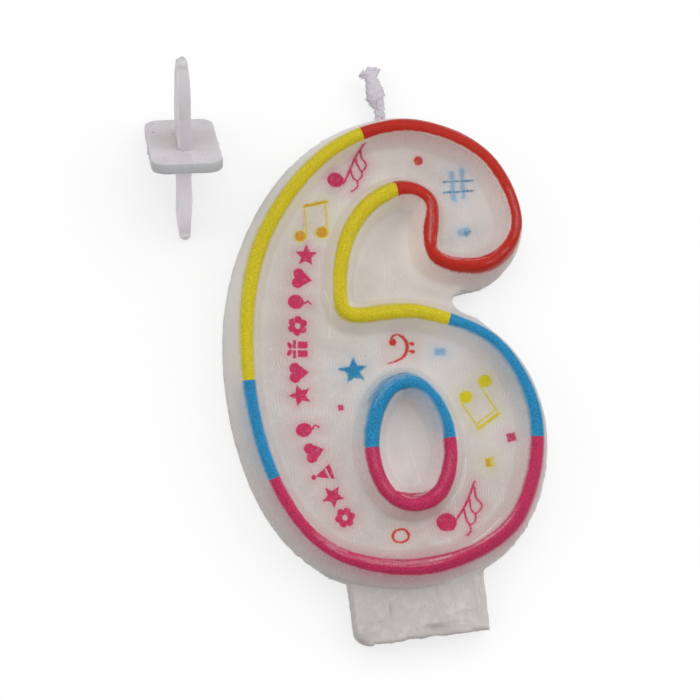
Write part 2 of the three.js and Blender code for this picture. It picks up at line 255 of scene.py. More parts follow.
COUNTER_EDGES = [
    (0.0, 1.35, 0.3, 1.3, 0.6, 0.4, 0.35),
    (0.05, 1.1, 0.5, 1.15, 0.5, 0.45, 0.3),
    (0.1, 0.95, 0.7, 0.9, 0.4, 0.45, 0.25),
    (0.2, 1.05, 0.6, 0.9, 0.3, 0.4, 0.15),
    (0.25, 1.2, 0.25, 0.78, 0.15, 0.25, 0.12),
    (0.32, 1.25, 0.15, 0.98, 0.15, 0.18, 0.12),
    (0.4, 1.15, 0.15, 1.5, 0.15, 0.16, 0.15),
    (0.45, 1.5, 0.15, 1.35, 0.15, 0.25, 0.2),
    (0.5, 1.9, 0.15, 1.15, 0.15, 0.25, 0.22),
    (0.56, 1.65, 0.15, 1.2, 0.15, 0.2, 0.2),
    (0.6, 0.85, 0.15, 1.25, 0.15, 0.12, 0.16),
    (0.7, 1.3, 0.15, 1.15, 0.2, 0.12, 0.14),
    (0.75, 1.35, 0.15, 1.2, 0.35, 0.12, 0.2),
    (0.82, 1.5, 0.2, 1.25, 0.5, 0.14, 0.3),
    (0.88, 1.4, 0.15, 1.5, 0.7, 0.18, 0.4),
    (0.94, 1.2, 0.15, 1.4, 0.8, 0.25, 0.4),
]
TINT_REACH = 1.2

# Paler lines along the rims where ink was rubbed: first and last place, place across, half its width
# and how strong it is
RUBBED = [
    (13.7, 15.5, -0.45, 0.4, 0.28),
    (13.7, 15.3, 0.0, 0.05, 0.3),
    (12.8, 14.1, -0.55, 0.14, 0.5),
    (2.5, 3.9, -0.55, 0.06, 0.35),
    (2.4, 3.1, 0.35, 0.15, 0.2),
    (3.3, 4.4, -0.75, 0.2, 0.25),
    (1.4, 2.3, 0.2, 0.25, 0.2),
    (4.2, 5.0, 0.1, 0.2, 0.3),
    (4.3, 5.2, -0.3, 0.06, 0.4),
]
COUNTER_RUBBED = [
    (0.4, 0.52, -1.3, 0.07, 1.1),
    (0.48, 0.58, -0.9, 0.06, 0.7),
    (0.86, 1.06, 0.35, 0.08, 0.3),
    (0.84, 1.04, 0.65, 0.08, 0.4),
    (0.88, 1.1, 0.95, 0.08, 0.35),
    (0.27, 0.44, -0.3, 0.3, 0.1),
    (0.58, 0.76, 0.0, 0.35, 0.1),
]

# How far the tint of one ink runs into the next along a rim
TINT_BLEND = 2.4

# Camera: the photograph's view, looking nearly straight down on the table
CAMERA_TARGET = (-6.2, 0.25, 5.0)
CAMERA_FROM_LEFT = math.radians(6.9)
CAMERA_FROM_BELOW = math.radians(6.85)
CAMERA_ROLL = math.radians(6.6)
CAMERA_DISTANCE = 316.0
CAMERA_LENS = 102.86
CAMERA_SENSOR = 36.0

# Table: how bright it is to the light that strikes it, and its glow where the camera sees it
TABLE_GREY = 0.25
TABLE_GLOW = 0.65
TABLE_HALF = 2.0
TABLE_DROP = 0.02

# Light from all round, and soft suns: name, way to it and strength
WORLD_LIGHT = 0.62
LAMPS = [
    ("key", (0.1, 0.8, 1.0), 0.8),
    ("from_left", (-1.0, 0.25, 0.6), 0.55),
    ("from_right", (1.0, 0.25, 0.6), 0.75),
]
LAMP_ANGLE = math.radians(60)


def linear(colour):
    """A colour from 0 to 255 in sRGB as Blender's linear values."""
    share = np.asarray(colour, float) / 255
    return np.where(share <= 0.04045, share / 12.92, ((share + 0.055) / 1.055) ** 2.4)


def smoothstep(value, low, high):
    share = np.clip((value - low) / (high - low), 0, 1)
    return share * share * (3 - 2 * share)


def soft_min(first, second, soft):
    return (first + second) / 2 - np.sqrt(((first - second) / 2) ** 2 + soft**2)


def soft_max(first, second, soft):
    return -soft_min(-first, -second, soft)


def bell(*shares):
    """A bump that is 1 where each share is 0, and falls off smoothly."""
    return np.exp(-sum(share**2 for share in shares))


def ripple(spots, size, seed):
    """Smooth noise from -1 to 1 over the plane, with features of about one size."""
    cells = 64
    table = np.random.default_rng(seed).uniform(-1, 1, (cells, cells))
    place = np.asarray(spots) / size + cells / 2
    cell = np.floor(place).astype(int)
    part = place - cell
    part = part * part * (3 - 2 * part)
    x, y = cell[..., 0] % cells, cell[..., 1] % cells
    east, north = (x + 1) % cells, (y + 1) % cells
    low = table[x, y] * (1 - part[..., 0]) + table[east, y] * part[..., 0]
    high = table[x, north] * (1 - part[..., 0]) + table[east, north] * part[..., 0]
    return low * (1 - part[..., 1]) + high * part[..., 1]


def rippled(base, spots, layers):
    """A value with smooth noise added: each layer is a rise, a size and a seed."""
    for rise, size, seed in layers:
        base = base + rise * ripple(spots, size, seed)
    return base


# Lines that the rims follow


def on_numeral(shares):
    across, up = np.asarray(shares, float).T
    return np.stack([NUMERAL_ASIDE + across * NUMERAL_WIDTH, up * NUMERAL_HEIGHT], -1)


def cubic(start, end, leave, arrive, share):
    """Points between two knots of a curve, from the way it leaves one and arrives at the other."""
    square = -3 * start + 3 * end - 2 * leave - arrive
    cube = 2 * start - 2 * end + leave + arrive
    return start + leave * share + square * share**2 + cube * share**3


def centripetal(knots):
    """Points and places, in knots, of a closed centripetal Catmull-Rom curve."""
    points = []
    share = np.linspace(0, 1, KNOT_SAMPLES, endpoint=False)[:, None]
    for k in range(len(knots)):
        before, start, end, after = (knots[(k + j) % len(knots)] for j in (-1, 0, 1, 2))
        gaps = [np.hypot(*(b - a)) ** 0.5 for a, b in ((before, start), (start, end), (end, after))]
        leave = (start - before) / gaps[0] - (end - before) / (gaps[0] + gaps[1])
        leave = (leave + (end - start) / gaps[1]) * gaps[1]
        arrive = (end - start) / gaps[1] - (after - start) / (gaps[1] + gaps[2])
        arrive = (arrive + (after - end) / gaps[2]) * gaps[1]
        points.append(cubic(start, end, leave, arrive, share))
    return np.concatenate(points), np.arange(len(knots) * KNOT_SAMPLES) / KNOT_SAMPLES


def carried(places, along, values):
    """Rows of values, given by their place along a line, carried over to other places."""
    return np.stack([np.interp(places, along, column) for column in values.T], -1)


def open_curve(knots, step):
    """Even points of a smooth open curve through its knots."""
    knots = np.array(knots, float)
    knots = np.vstack([2 * knots[0] - knots[1], knots, 2 * knots[-1] - knots[-2]])
    share = np.linspace(0, 1, CURVE_SAMPLES, endpoint=False)[:, None]
    fine = [
        cubic(start, end, (end - before) / 2, (after - start) / 2, share)
        for before, start, end, after in zip(knots, knots[1:], knots[2:], knots[3:])
    ]
    fine = np.vstack([*fine, knots[-2:-1]])
    along = np.concatenate([[0], np.cumsum(np.linalg.norm(np.diff(fine, axis=0), axis=1))])
    even = np.linspace(0, along[-1], max(2, int(round(along[-1] / step)) + 1))
    return carried(even, along, fine)


def egg():
    """Points and places, in turns, of the counter's outline."""
    turn = np.arange(COUNTER_SAMPLES) / COUNTER_SAMPLES
    angle = 2 * math.pi * turn
    up = COUNTER_HEIGHT / 2 * np.cos(angle)
    across = COUNTER_WIDTH / 2 * np.sin(angle) * (1 + COUNTER_TAPER * np.cos(angle))
    cos, sin = math.cos(COUNTER_LEAN), math.sin(COUNTER_LEAN)
    leant = np.stack([across * cos - up * sin, across * sin + up * cos], -1)
    return leant + on_numeral([COUNTER_PLACE])[0], turn


def tree_of(points):
    """A search tree of points in the plane."""
    tree = kdtree.KDTree(len(points))
    for k, (x, y) in enumerate(points):
        tree.insert((x, y, 0), k)
    tree.balance()
    return tree


def round_gap(ahead, whole):
    """How far two places on a loop are apart the shorter way, from one less the other."""
    return np.abs((ahead + whole / 2) % whole - whole / 2)


class Loop:
    """A closed line that goes clockwise, finely sampled, and the tables of the print along it."""

    def __init__(self, points, places, whole, edges, rubbed):
        self.points = points
        self.places = places
        self.whole = whole
        self.edges = edges
        self.rubbed = rubbed
        self.outward = self.normals(points)
        steps = np.hypot(*(np.roll(points, -1, axis=0) - points).T)
        self.along = np.concatenate([[0], np.cumsum(steps)])
        self.length = self.along[-1]
        self.tree = tree_of(points)

    @staticmethod
    def normals(points):
        ahead = np.roll(points, -1, axis=0) - np.roll(points, 1, axis=0)
        ahead /= np.hypot(*ahead.T)[:, None]
        return np.stack([-ahead[:, 1], ahead[:, 0]], -1)

    def nearest(self, spots):
        """Signed distance of each spot, out positive, and the nearest sample."""
        found = [self.tree.find((x, y, 0)) for x, y in spots]
        near = np.array([index for _, index, _ in found])
        far = np.array([distance for _, _, distance in found])
        across = np.einsum("ij,ij->i", spots - self.points[near], self.outward[near])
        sign = np.where(across < 0, -1.0, 1.0)
        return np.where(far < CLOSE_BY, across, sign * far), near

    def between(self, first, last, step):
        """Points, ways out and places at even steps from one place to another, both included."""
        ends = np.interp([first, last], np.append(self.places, self.whole), self.along)
        if last > self.whole:
            ends[1] = self.length + np.interp(last - self.whole, self.places, self.along[:-1])
        count = max(2, int(round((ends[1] - ends[0]) / step)) + 1)
        along = np.linspace(*ends, count) % self.length
        closed = [np.vstack([values, values[:1]]) for values in (self.points, self.outward)]
        points, outward = (carried(along, self.along, values) for values in closed)
        return points, outward, np.interp(along, self.along, np.append(self.places, self.whole))


outline = Loop(*centripetal(on_numeral(OUTLINE_SHARES)), KNOTS, PRINT_EDGES, RUBBED)
counter = Loop(*egg(), 1.0, COUNTER_EDGES, COUNTER_RUBBED)


# Height of the wax over the plane


def swell_share(y):
    """How much the outer wall swells, by place up the numeral: more towards its lower end."""
    return smoothstep(-y, -NUMERAL_END - SWELL_RISE, -NUMERAL_END)


def web_share(places):
    """Where a thin web takes the place of the open table beside the rim, from 0 to 1."""
    after = (places - WEB_KNOTS[0]) / WEB_BLEND_KNOTS
    before = (WEB_KNOTS[1] - places) / WEB_BLEND_KNOTS
    return smoothstep(np.minimum(after, before), 0, 1)


def round_loop(places, whole, table, column):
    """A column of a table of places, carried smoothly round a loop."""
    table = np.array(table)
    shift = np.zeros(table.shape[1])
    shift[0] = whole
    near = np.vstack([table[-2:] - shift, table, table[:2] + shift])
    return np.interp(places, near[:, 0], near[:, column])


def base_reach(points, places):
    """How far the wall's foot stands from the middle of the rim, with crumbs on rougher stretches."""
    reach = round_loop(places, KNOTS, WALL_REACHES, 1)
    rough = np.zeros(len(places))
    for first, last in ROUGH_BASES:
        rough += smoothstep(places, first, first + 0.1) * (1 - smoothstep(places, last - 0.1, last))
    crumbs = 0.22 * rough * np.maximum(ripple(points, 0.35, 9) - 0.1, 0)
    return rippled(reach, points, WALL_RIPPLES) + crumbs


def crown(reach):
    return RIM_TOP - reach**2 / (2 * CROWN_RADIUS)


def recess_side(reach, floor):
    wall = WALL_START - (reach - BAND_HALF) * WALL_SLOPE
    return soft_max(soft_min(crown(reach), wall, CORNER_SOFT), floor, FLOOR_SOFT)


def outer_side(reach, base, bulge):
    share = np.clip((reach - BAND_HALF) / (base - BAND_HALF), 0, 1)
    height = (1 - share**bulge) ** (1 / bulge)
    wall = EDGE_HEIGHT + (WALL_START + 0.1 - EDGE_HEIGHT) * height
    return soft_min(crown(reach), wall, CORNER_SOFT)


class Ground:
    """What the height and the print need to know about a set of spots."""

    def __init__(self, spots):
        self.spots = np.asarray(spots, float)
        self.rim, near = outline.nearest(self.spots)
        self.hole, near_hole = counter.nearest(self.spots)
        self.reach = np.minimum(np.abs(self.rim), np.abs(self.hole))
        self.place = outline.places[near]
        self.turn = counter.places[near_hole]
        self.point = outline.points[near]
        self.in_counter = self.hole < 0
        self.in_stroke = (self.rim < 0) & ~self.in_counter

    def web(self):
        """Height of the web, with fine folds beside the hook's end."""
        by_hook = smoothstep(self.place, 1.6, 2.2) * (1 - smoothstep(self.place, 3.2, 3.6))
        reach = np.abs(self.rim)
        folds = np.sin((reach + 0.2 * ripple(self.spots, 1.5, 10)) * 2 * math.pi / FOLD_SPACING)
        web = rippled(WEB_HEIGHT, self.spots, WEB_RIPPLES)
        return web + FOLD_RISE * by_hook * folds * bell((reach - FOLD_REACH) / FOLD_SPREAD)

    def height(self):
        reach = np.abs(self.rim)
        web = self.web()
        stroke = recess_side(self.reach, rippled(FLOOR_HEIGHT, self.spots, FLOOR_RIPPLES))
        inside = recess_side(np.abs(self.hole), web)
        base = base_reach(self.point, self.place)
        bulge = WALL_BULGE + (SWELL_BULGE - WALL_BULGE) * swell_share(self.point[:, 1])
        share = web_share(self.place)
        outside = outer_side(reach, base, bulge) * (1 - share) + recess_side(reach, web) * share
        height = np.where(self.in_stroke, stroke, outside)
        return np.where(self.in_counter, inside, height)


# Print on the wax: ink colour and how much of it covers each spot


def print_edge(distance, soft):
    """Share of ink at a distance from a print's edge, inside negative."""
    return 1 - smoothstep(distance, -soft, soft)


def stroke(spots, corners, half_widths):
    """Signed distance from a line through corners, whose half width changes along it."""
    widths = np.atleast_1d(np.array(half_widths, float))
    half_widths = np.interp(np.linspace(0, 1, len(corners)), np.linspace(0, 1, len(widths)), widths)
    best = np.full(len(spots), 1e9)
    for k, (start, end) in enumerate(zip(corners[:-1], corners[1:])):
        start, end = np.array(start, float), np.array(end, float)
        way = end - start
        share = np.clip((spots - start) @ way / (way @ way), 0, 1)
        far = np.hypot(*(spots - start - share[:, None] * way).T)
        best = np.minimum(best, far - half_widths[k] * (1 - share) - half_widths[k + 1] * share)
    return best


def curved(spots, corners, half_widths):
    return stroke(spots, open_curve(corners, 0.2), half_widths)


def polygon(spots, corners):
    """Signed distance from a polygon's edge, inside negative."""
    far = stroke(spots, [*corners, corners[0]], 0.0)
    return np.where(inside_polygon(spots, np.array(corners)), -far, far)


def placed(corners, centre, angle, size=1):
    """Corners of a shape drawn about its own middle, turned clockwise and put in place."""
    x, y = np.array(corners).T * size
    cos, sin = math.cos(angle), math.sin(angle)
    return np.stack([centre[0] + x * cos + y * sin, centre[1] + y * cos - x * sin], -1)


def spot_on(centre, angle, x, y):
    """Where a point of a shape comes, once the shape is turned and put in place."""
    return placed([(x, y)], centre, angle)[0]


def disc(spots, centre, wide, tall=None, angle=0.0):
    """Signed distance from a disc, or nearly so from an ellipse."""
    tall = wide if tall is None else tall
    local = spots - np.array(centre, float)
    cos, sin = math.cos(angle), math.sin(angle)
    x, y = local[:, 0] * cos - local[:, 1] * sin, local[:, 1] * cos + local[:, 0] * sin
    return (np.hypot(x / wide, y / tall) - 1) * min(wide, tall)


def block(spots, centre, wide, tall, angle):
    """Signed distance from a rectangle."""
    x, y = wide / 2, tall / 2
    return polygon(spots, placed([(-x, -y), (x, -y), (x, y), (-x, y)], centre, angle))


def drawn(spots, heads, lines):
    """Discs, each with its middle and half sizes, and lines, each with two ends and half its width."""
    shapes = [disc(spots, *head) for head in heads]
    shapes += [stroke(spots, (start, end), half) for start, end, half in lines]
    return np.minimum.reduce(shapes)


# Star of the row: its size, the waist's share of it, and how far its tips are rounded
STAR_SIZE = 1.75
STAR_WAIST = 0.48
STAR_ROUNDING = 0.05


def star(spots, centre, angle):
    """A star of five points with slightly rounded tips."""
    turn = np.arange(10) * math.pi / 5
    radius = np.where(np.arange(10) % 2 == 0, 1.0, STAR_WAIST)
    corners = np.stack([radius * np.sin(turn), radius * np.cos(turn)], -1)
    return polygon(spots, placed(corners, centre, angle, STAR_SIZE)) - STAR_ROUNDING


def star_through(spots, tips, waist):
    """A star through given tips, clockwise, with the waist between them at one distance."""
    tips = np.array(tips)
    centre = tips.mean(axis=0)
    between = (tips + np.roll(tips, -1, axis=0)) / 2 - centre
    inner = centre + waist * between / np.hypot(*between.T)[:, None]
    return polygon(spots, np.stack([tips, inner], 1).reshape(-1, 2))


def heart(spots, centre, angle):
    tip = polygon(spots, placed([(-1.42, 0.1), (1.42, 0.1), (0, -1.7)], centre, angle))
    lobes = [disc(spots, spot_on(centre, angle, side, 0.55), 0.88) for side in (-0.73, 0.73)]
    return np.minimum.reduce([tip, *lobes])


def balloon(spots, centre, angle):
    body = disc(spots, spot_on(centre, angle, 0, 0.5), 1.15, 1.3, angle)
    knot = polygon(spots, placed([(0, -0.6), (0.36, -1.1), (-0.36, -1.1)], centre, angle))
    tail = placed([(0, -1.0), (0.3, -1.4), (-0.1, -1.9)], centre, angle)
    return np.minimum.reduce([body, knot, curved(spots, tail, 0.16)])


def gift(spots, centre, angle):
    box = block(spots, spot_on(centre, angle, 0, -0.85), 2.5, 1.6, angle)
    lid = block(spots, spot_on(centre, angle, 0, 0.45), 2.9, 0.55, angle)
    ribbon = stroke(spots, placed([(0, -2), (0, 1)], centre, angle), 0.14)
    bows = [
        disc(spots, spot_on(centre, angle, side * 0.55, 1.2), 0.6, 0.36, angle - side * 0.5)
        for side in (-1, 1)
    ]
    return np.minimum.reduce([np.maximum(np.minimum(box, lid), -ribbon), *bows])


def flower(spots, centre, angle):
    turns = [angle + k * math.pi / 3 for k in range(6)]
    petals = [disc(spots, spot_on(centre, turn, 0, 1.0), 0.62) for turn in turns]
    middle = disc(spots, centre, 1.0)
    return np.maximum(np.minimum.reduce([*petals, middle]), -disc(spots, centre, 0.42))


def party_hat(spots, centre, angle):
    cone = polygon(spots, placed([(-1.3, -1.6), (1.3, -1.6), (0, 1.3)], centre, angle))
    band = stroke(spots, placed([(-1.4, -1.0), (1.4, -0.6)], centre, angle), 0.11)
    ball = disc(spots, spot_on(centre, angle, 0, 1.45), 0.42)
    return np.minimum(np.maximum(cone, -band), ball)


# Row of party shapes along the left of the stroke: shape, place and turn
PARTY_ROW = [
    (star, (-11.45, 15.9), -1.1),
    (heart, (-12.6, 12.3), -1.3),
    (balloon, (-13.4, 8.6), -1.35),
    (flower, (-14.05, 4.9), 0.2),
    (gift, (-14.5, 1.2), -1.45),
    (heart, (-14.75, -2.5), -1.5),
    (star, (-14.85, -6.1), -1.5),
    (balloon, (-14.4, -11.5), -1.7),
    (heart, (-13.7, -15.2), -1.75),
    (party_hat, (-12.75, -18.8), -1.8),
    (star, (-11.5, -22.4), -1.9),
    (flower, (-10.0, -25.9), 0.4),
]

# Notes with flags: middle of the head, its radius, the stem and the flags
FLAGGED_NOTES = [
    ((-5.4, 27.6), 1.27, [(-4.1, 26.9), (-1.8, 30.9), (-0.1, 33.0)], [
        [(-1.1, 31.8), (-0.8, 30.8), (-0.2, 29.7), (-0.4, 29.1), (-1.0, 28.5)],
        [(-1.8, 30.8), (-1.6, 29.7), (-1.0, 28.4), (-1.2, 27.7), (-1.9, 27.1)],
        [(-2.8, 28.9), (-2.5, 27.7), (-1.9, 27.0), (-2.1, 26.1), (-3.0, 25.5)],
    ]),
    ((5.9, -28.4), 1.55, [(7.3, -28.4), (9.3, -25.9), (11.1, -22.6)], [
        [(11.0, -23.4), (11.0, -25.0), (11.7, -26.0), (11.7, -26.8), (10.6, -27.7)],
        [(10.0, -25.3), (10.0, -26.8), (10.6, -27.7), (10.4, -28.8), (9.7, -29.2)],
        [(8.9, -26.8), (9.1, -28.4), (9.5, -29.2), (9.5, -30.1), (8.8, -30.8)],
    ]),
]
STEM_WIDTHS = (0.2, 0.25, 0.22)
FLAG_WIDTHS = (0.22, 0.18, 0.17)

# Bass clef: its bow and the half widths along it, then its dots and tails
CLEF_BOW = [
    (0.4, 1.1), (0.9, 1.8), (1.7, 1.85), (2.4, 1.4), (2.9, 0.5), (2.9, -0.4), (2.5, -1.3),
    (1.8, -1.9), (0.8, -2.3), (-0.5, -2.5),
]
CLEF_WIDTHS = (0.14, 0.16, 0.19, 0.24, 0.26, 0.26, 0.22, 0.17, 0.12, 0.05)
CLEF_DOTS = [((3.78, 0.2), 0.3), ((3.73, -1.05), 0.32), ((0.72, 0.75), 0.58)]
CLEF_TAILS = [((3.3, 0.3), (3.8, 0.2), 0.13), ((3.25, -0.9), (3.7, -1.0), 0.13)]

# Other marks: discs, each with its middle and half sizes, and lines, each with its ends and half width
PAIR = (
    [((-12.0, 19.1), 0.93, 0.88), ((-8.5, 19.4), 0.98, 0.93)],
    [((-10.9, 23.8), (-7.3, 24.25), 0.22)],
)
PAIR_STEMS = ([], [((-11.0, 19.3), (-10.9, 23.9), 0.14), ((-7.55, 19.9), (-7.4, 24.2), 0.14)])
PAIR_GHOST = (
    [((-12.35, 19.05), 0.9), ((-8.85, 19.35), 0.95)],
    [((-11.35, 19.3), (-11.2, 23.9), 0.1), ((-7.8, 19.9), (-7.65, 24.1), 0.1)],
)
TWIN = (
    [((11.35, -9.1), 1.08, 1.02), ((14.7, -6.85), 1.08, 1.02)],
    [
        ((10.5, -9.8), (12.8, -14.4), 0.15), ((13.9, -7.6), (16.2, -12.2), 0.14),
        ((12.8, -14.25), (16.2, -12.3), 0.27), ((12.5, -13.6), (15.9, -11.6), 0.14),
    ],
)
SHARP_BARS = ([], [((11.9, 25.7), (16.6, 25.5), 0.14), ((11.8, 23.95), (16.6, 23.85), 0.15)])
SHARP_POSTS = ([], [((13.4, 26.9), (13.3, 22.7), 0.46), ((15.1, 27.2), (14.9, 23.1), 0.42)])
BIG_STAR = [(-5.81, -0.84), (-3.74, -2.5), (-4.49, -4.76), (-7.25, -4.88), (-8.59, -2.49)]
BIG_STAR_WAIST = 1.1
HOOP = ((-1.6, -29.7), 1.27, 1.02)
HOOP_HALF = 0.18


def flagged_note(spots, head, radius, stem, flags):
    lines = [disc(spots, head, radius * 1.08, radius * 0.95, 0.3), curved(spots, stem, STEM_WIDTHS)]
    return np.minimum.reduce(lines + [curved(spots, flag, FLAG_WIDTHS) for flag in flags])


def clef(spots):
    return np.minimum(curved(spots, CLEF_BOW, CLEF_WIDTHS), drawn(spots, CLEF_DOTS, CLEF_TAILS))


def motifs(spots):
    """Printed shapes on the floor of the stroke: colour, distance, softness, strength and tint."""
    ragged = 0.09 * ripple(spots, 0.28, 23)
    row = np.minimum.reduce([shape(spots, centre, angle) for shape, centre, angle in PARTY_ROW])
    pair = drawn(spots, *PAIR)
    stems = np.minimum(drawn(spots, *PAIR_STEMS), pair - 0.1)
    big_star = star_through(spots, BIG_STAR, BIG_STAR_WAIST)
    notes = [flagged_note(spots, *note) for note in FLAGGED_NOTES]
    return [
        (NOTE_PINK, row, 0.08, 0.97, 0.26),
        *[(NOTE_PINK, note, 0.14, 0.97, 0.27) for note in notes],
        (VERMILION, disc(spots, (8.3, 29.5), 0.76), 0.13, 0.95, 0.12),
        (THIN_SKY, drawn(spots, *SHARP_POSTS) + 1.5 * ragged, 0.42, 0.62, 0.14),
        (SKY, drawn(spots, *SHARP_BARS) + ragged, 0.17, 0.92, 0.1),
        (SKY, disc(spots, (14.7, 17.1), 0.8, 0.5, -0.2) + ragged, 0.35, 0.8, 0.14),
        (THIN_SKY, block(spots, (14.2, 17.35), 2.1, 1.2, -0.2) + ragged, 0.4, 0.6, 0.12),
        (NOTE_PINK, drawn(spots, *PAIR_GHOST) + ragged, 0.14, 0.3, 0.03),
        (LEMON, stems, 0.12, 0.88, 0.18),
        (ORANGE, pair, 0.13, 0.97, 0.0),
        (SKY, big_star + 1.2 * ragged, 0.24, 0.97, 0.14),
        (VERMILION, clef(spots) - 0.03, 0.11, 0.97, 0.15),
        (THIN_SKY, block(spots, (8.1, -1.5), 1.9, 1.2, 0.1) + 0.7 * ragged, 0.4, 0.66, 0.16),
        (LEMON, drawn(spots, *TWIN), 0.12, 0.98, 0.18),
        (NOTE_PINK, block(spots, (-8.7, -8.7), 0.9, 0.9, 0.0), 0.1, 0.92, 0.1),
        (NOTE_PINK, block(spots, (17.8, -16.2), 1.4, 1.35, -0.1), 0.1, 0.95, 0.15),
        (ORANGE, block(spots, (13.65, -19.8), 0.95, 1.4, 0.0), 0.22, 0.93, 0.0),
        (LEMON, block(spots, (13.85, -19.8), 1.45, 1.6, 0.0), 0.16, 0.85, 0.16),
        (VERMILION, np.abs(disc(spots, *HOOP)) - HOOP_HALF, 0.1, 0.96, 0.14),
    ]


# Pale scratches in the wax, and dark specks on it, with their half size and share of cover
SCRATCH_HALF = 0.05
SPECK_RADIUS = 0.1
MARK_SHARE = 0.8
SCRATCHES = [
    [(0.1, -9.2), (1.4, -15.6), (2.7, -22.4)],
    [(-2.4, -15.2), (-2.0, -17.5), (-1.5, -19.8)],
    [(-0.8, -9.4), (-0.4, -10.4), (-0.1, -11.3)],
    [(-9.3, 2.5), (-8.8, 6.5), (-9.4, 10.0)],
    [(6.9, -25.2), (9.3, -22.5), (10.2, -18.5)],
    [(-2.5, 20.5), (-0.2, 22.7), (3.0, 23.8)],
    [(9.0, -32.0), (11.5, -30.6), (14.0, -28.7)],
]
SPECKS = [(-3.9, -0.9), (-2.2, -11.8), (-3.0, -26.7), (20.7, 26.0), (1.0, -41.0)]

# Painted light and painted shade of the wax by place, on the inner and the outer side of the rim:
# painted light, standing for light through the wax, above 0, and painted shade below 0
WALL_PAINTED_LIGHT = [
    (0.5, 0.6, 0.45), (1.7, 0.4, 0.7), (2.8, 0.15, 0.3), (4.0, 0.0, 0.7), (4.8, 0.0, 0.75),
    (5.6, 0.15, 0.75), (7.5, 0.35, 0.5), (9.7, 0.45, 0.05), (10.3, 0.35, 0.3), (11.3, 0.2, 0.5),
    (12.5, 0.2, 0.25), (13.2, 0.05, 0.15), (14.4, -0.05, -0.12), (15.6, -0.05, -0.02),
    (16.6, 0.0, 0.25), (17.6, 0.35, 0.75), (18.7, 0.65, 0.75), (19.5, 0.55, 0.75),
]
GLOW_FADE = (1.8, 6.0)

# The same round the counter, by turn: on the stroke's side and inside the counter
COUNTER_PAINTED_LIGHT = [
    (0.0, 0.25, 0.5), (0.12, 0.25, 0.45), (0.25, 0.2, 0.45), (0.4, 0.05, 0.45), (0.5, -0.1, 0.45),
    (0.6, 0.05, 0.5), (0.75, 0.2, 0.65), (0.88, 0.25, 0.65),
]

# Painted light in the middle of the counter's floor, the distances from its rim between which it sets in,
# the height above which the wax has its full painted light, and the share of the foot's grey
MID_PAINTED_LIGHT = 0.5
MID_GLOW_FADE = (2.0, 5.0)
GLOW_HEIGHT = 2.4
FOOT_TONE_SHARE = 0.85

# Broad patches of painted light and painted shade on the wax, the last three painted shade in the
# foot's dents and corner: place, reach and amount, as above
PAINTED_LIGHT_PATCHES = [
    ((15.8, 21.6), 5.5, 0.4), ((9.8, -0.6), 5.0, 0.45), ((-1.2, 2.1), 4.5, 0.2),
    ((2.1, 15.6), 5.5, 0.35), ((6.2, 8.8), 4.5, 0.12), ((16.2, -14.9), 5.0, 0.25),
    ((1.7, 30.7), 3.0, 0.2), ((6.5, 30.3), 3.0, 0.14), ((-2.0, -32.2), 2.5, 0.12),
    ((5.5, -32.4), 2.5, 0.12), ((-17.0, 14.9), 4.0, -0.1), ((-19.0, 2.3), 5.0, -0.1),
    ((-16.6, -14.5), 4.0, -0.08), ((3.7, -44.7), 1.8, -0.4), ((0.5, -45.0), 1.5, -0.3),
    ((-9.3, -44.6), 1.8, -0.35),
]

# Streaks of ink beside the counter's rim: turn, place across, half width, half length in turns, share
COUNTER_STREAKS = [
    (0.94, 1.3, 0.14, 0.12, 0.9),
    (0.91, 1.6, 0.08, 0.08, 0.8),
    (0.97, 1.15, 0.12, 0.12, 0.85),
    (0.88, 1.85, 0.06, 0.06, 0.6),
]

# Trace of ink that hangs over the floor, and how far it reaches from a rim
HAZE = 0.035
HAZE_REACH = 4

# How far the ink of two bands mixes where they meet, and in the streaks
INK_BLEND = 0.03
STREAK_BLEND = 0.1

# How far the counter's ink reaches, how far the rim's ink reaches over the foot, how far the
# shapes on the floor keep from a rim, and how far their halo reaches
COUNTER_PRINT_REACH = 6
FOOT_PRINT_REACH = 3.3
MOTIF_CLEARANCE = 1.3
HALO_REACH = 1.1

# Grey that rubbed ink goes towards, as a linear value, and how far it goes
RUBBED_GREY = 0.62
RUBBED_SHARE = 0.6


def ink_between(place, loop, bands, soft):
    """The ink at each place along a rim, where neighbouring bands run together over a length."""
    soft = soft / loop.length * loop.whole
    total = np.zeros((len(place), 3))
    weight = np.full(len(place), 1e-4)
    for _, _, ink, first, last in bands:
        half = (last - first) / 2
        share = print_edge(round_gap(place - first - half, loop.whole) - half, soft)
        total += share[:, None] * linear(ink)
        weight += share
    return total / weight[:, None]


def rubbed_paler(colour, place, across, loop):
    """Ink with paler lines along the rim, where it was rubbed."""
    along = place / loop.whole * loop.length
    for first, last, line, wide, amount in loop.rubbed:
        away = round_gap(place - (first + last) / 2, loop.whole)
        on = 1 - smoothstep(away / (last - first), 0.35, 0.5)
        wave = line + 0.1 * ripple(np.stack([along / 3, along * 0], -1), 1.0, 15)
        broken = smoothstep(ripple(np.stack([along / 1.6, across / 0.3], -1), 1.0, 19), -1.0, 0.0)
        line_share = print_edge(np.abs(across - wave) - wide, 0.06 + wide / 3)
        paler = np.clip(amount * on * broken * line_share, 0, 1.5)
        colour = colour + paler[:, None] * (RUBBED_GREY - colour) * RUBBED_SHARE
    return colour


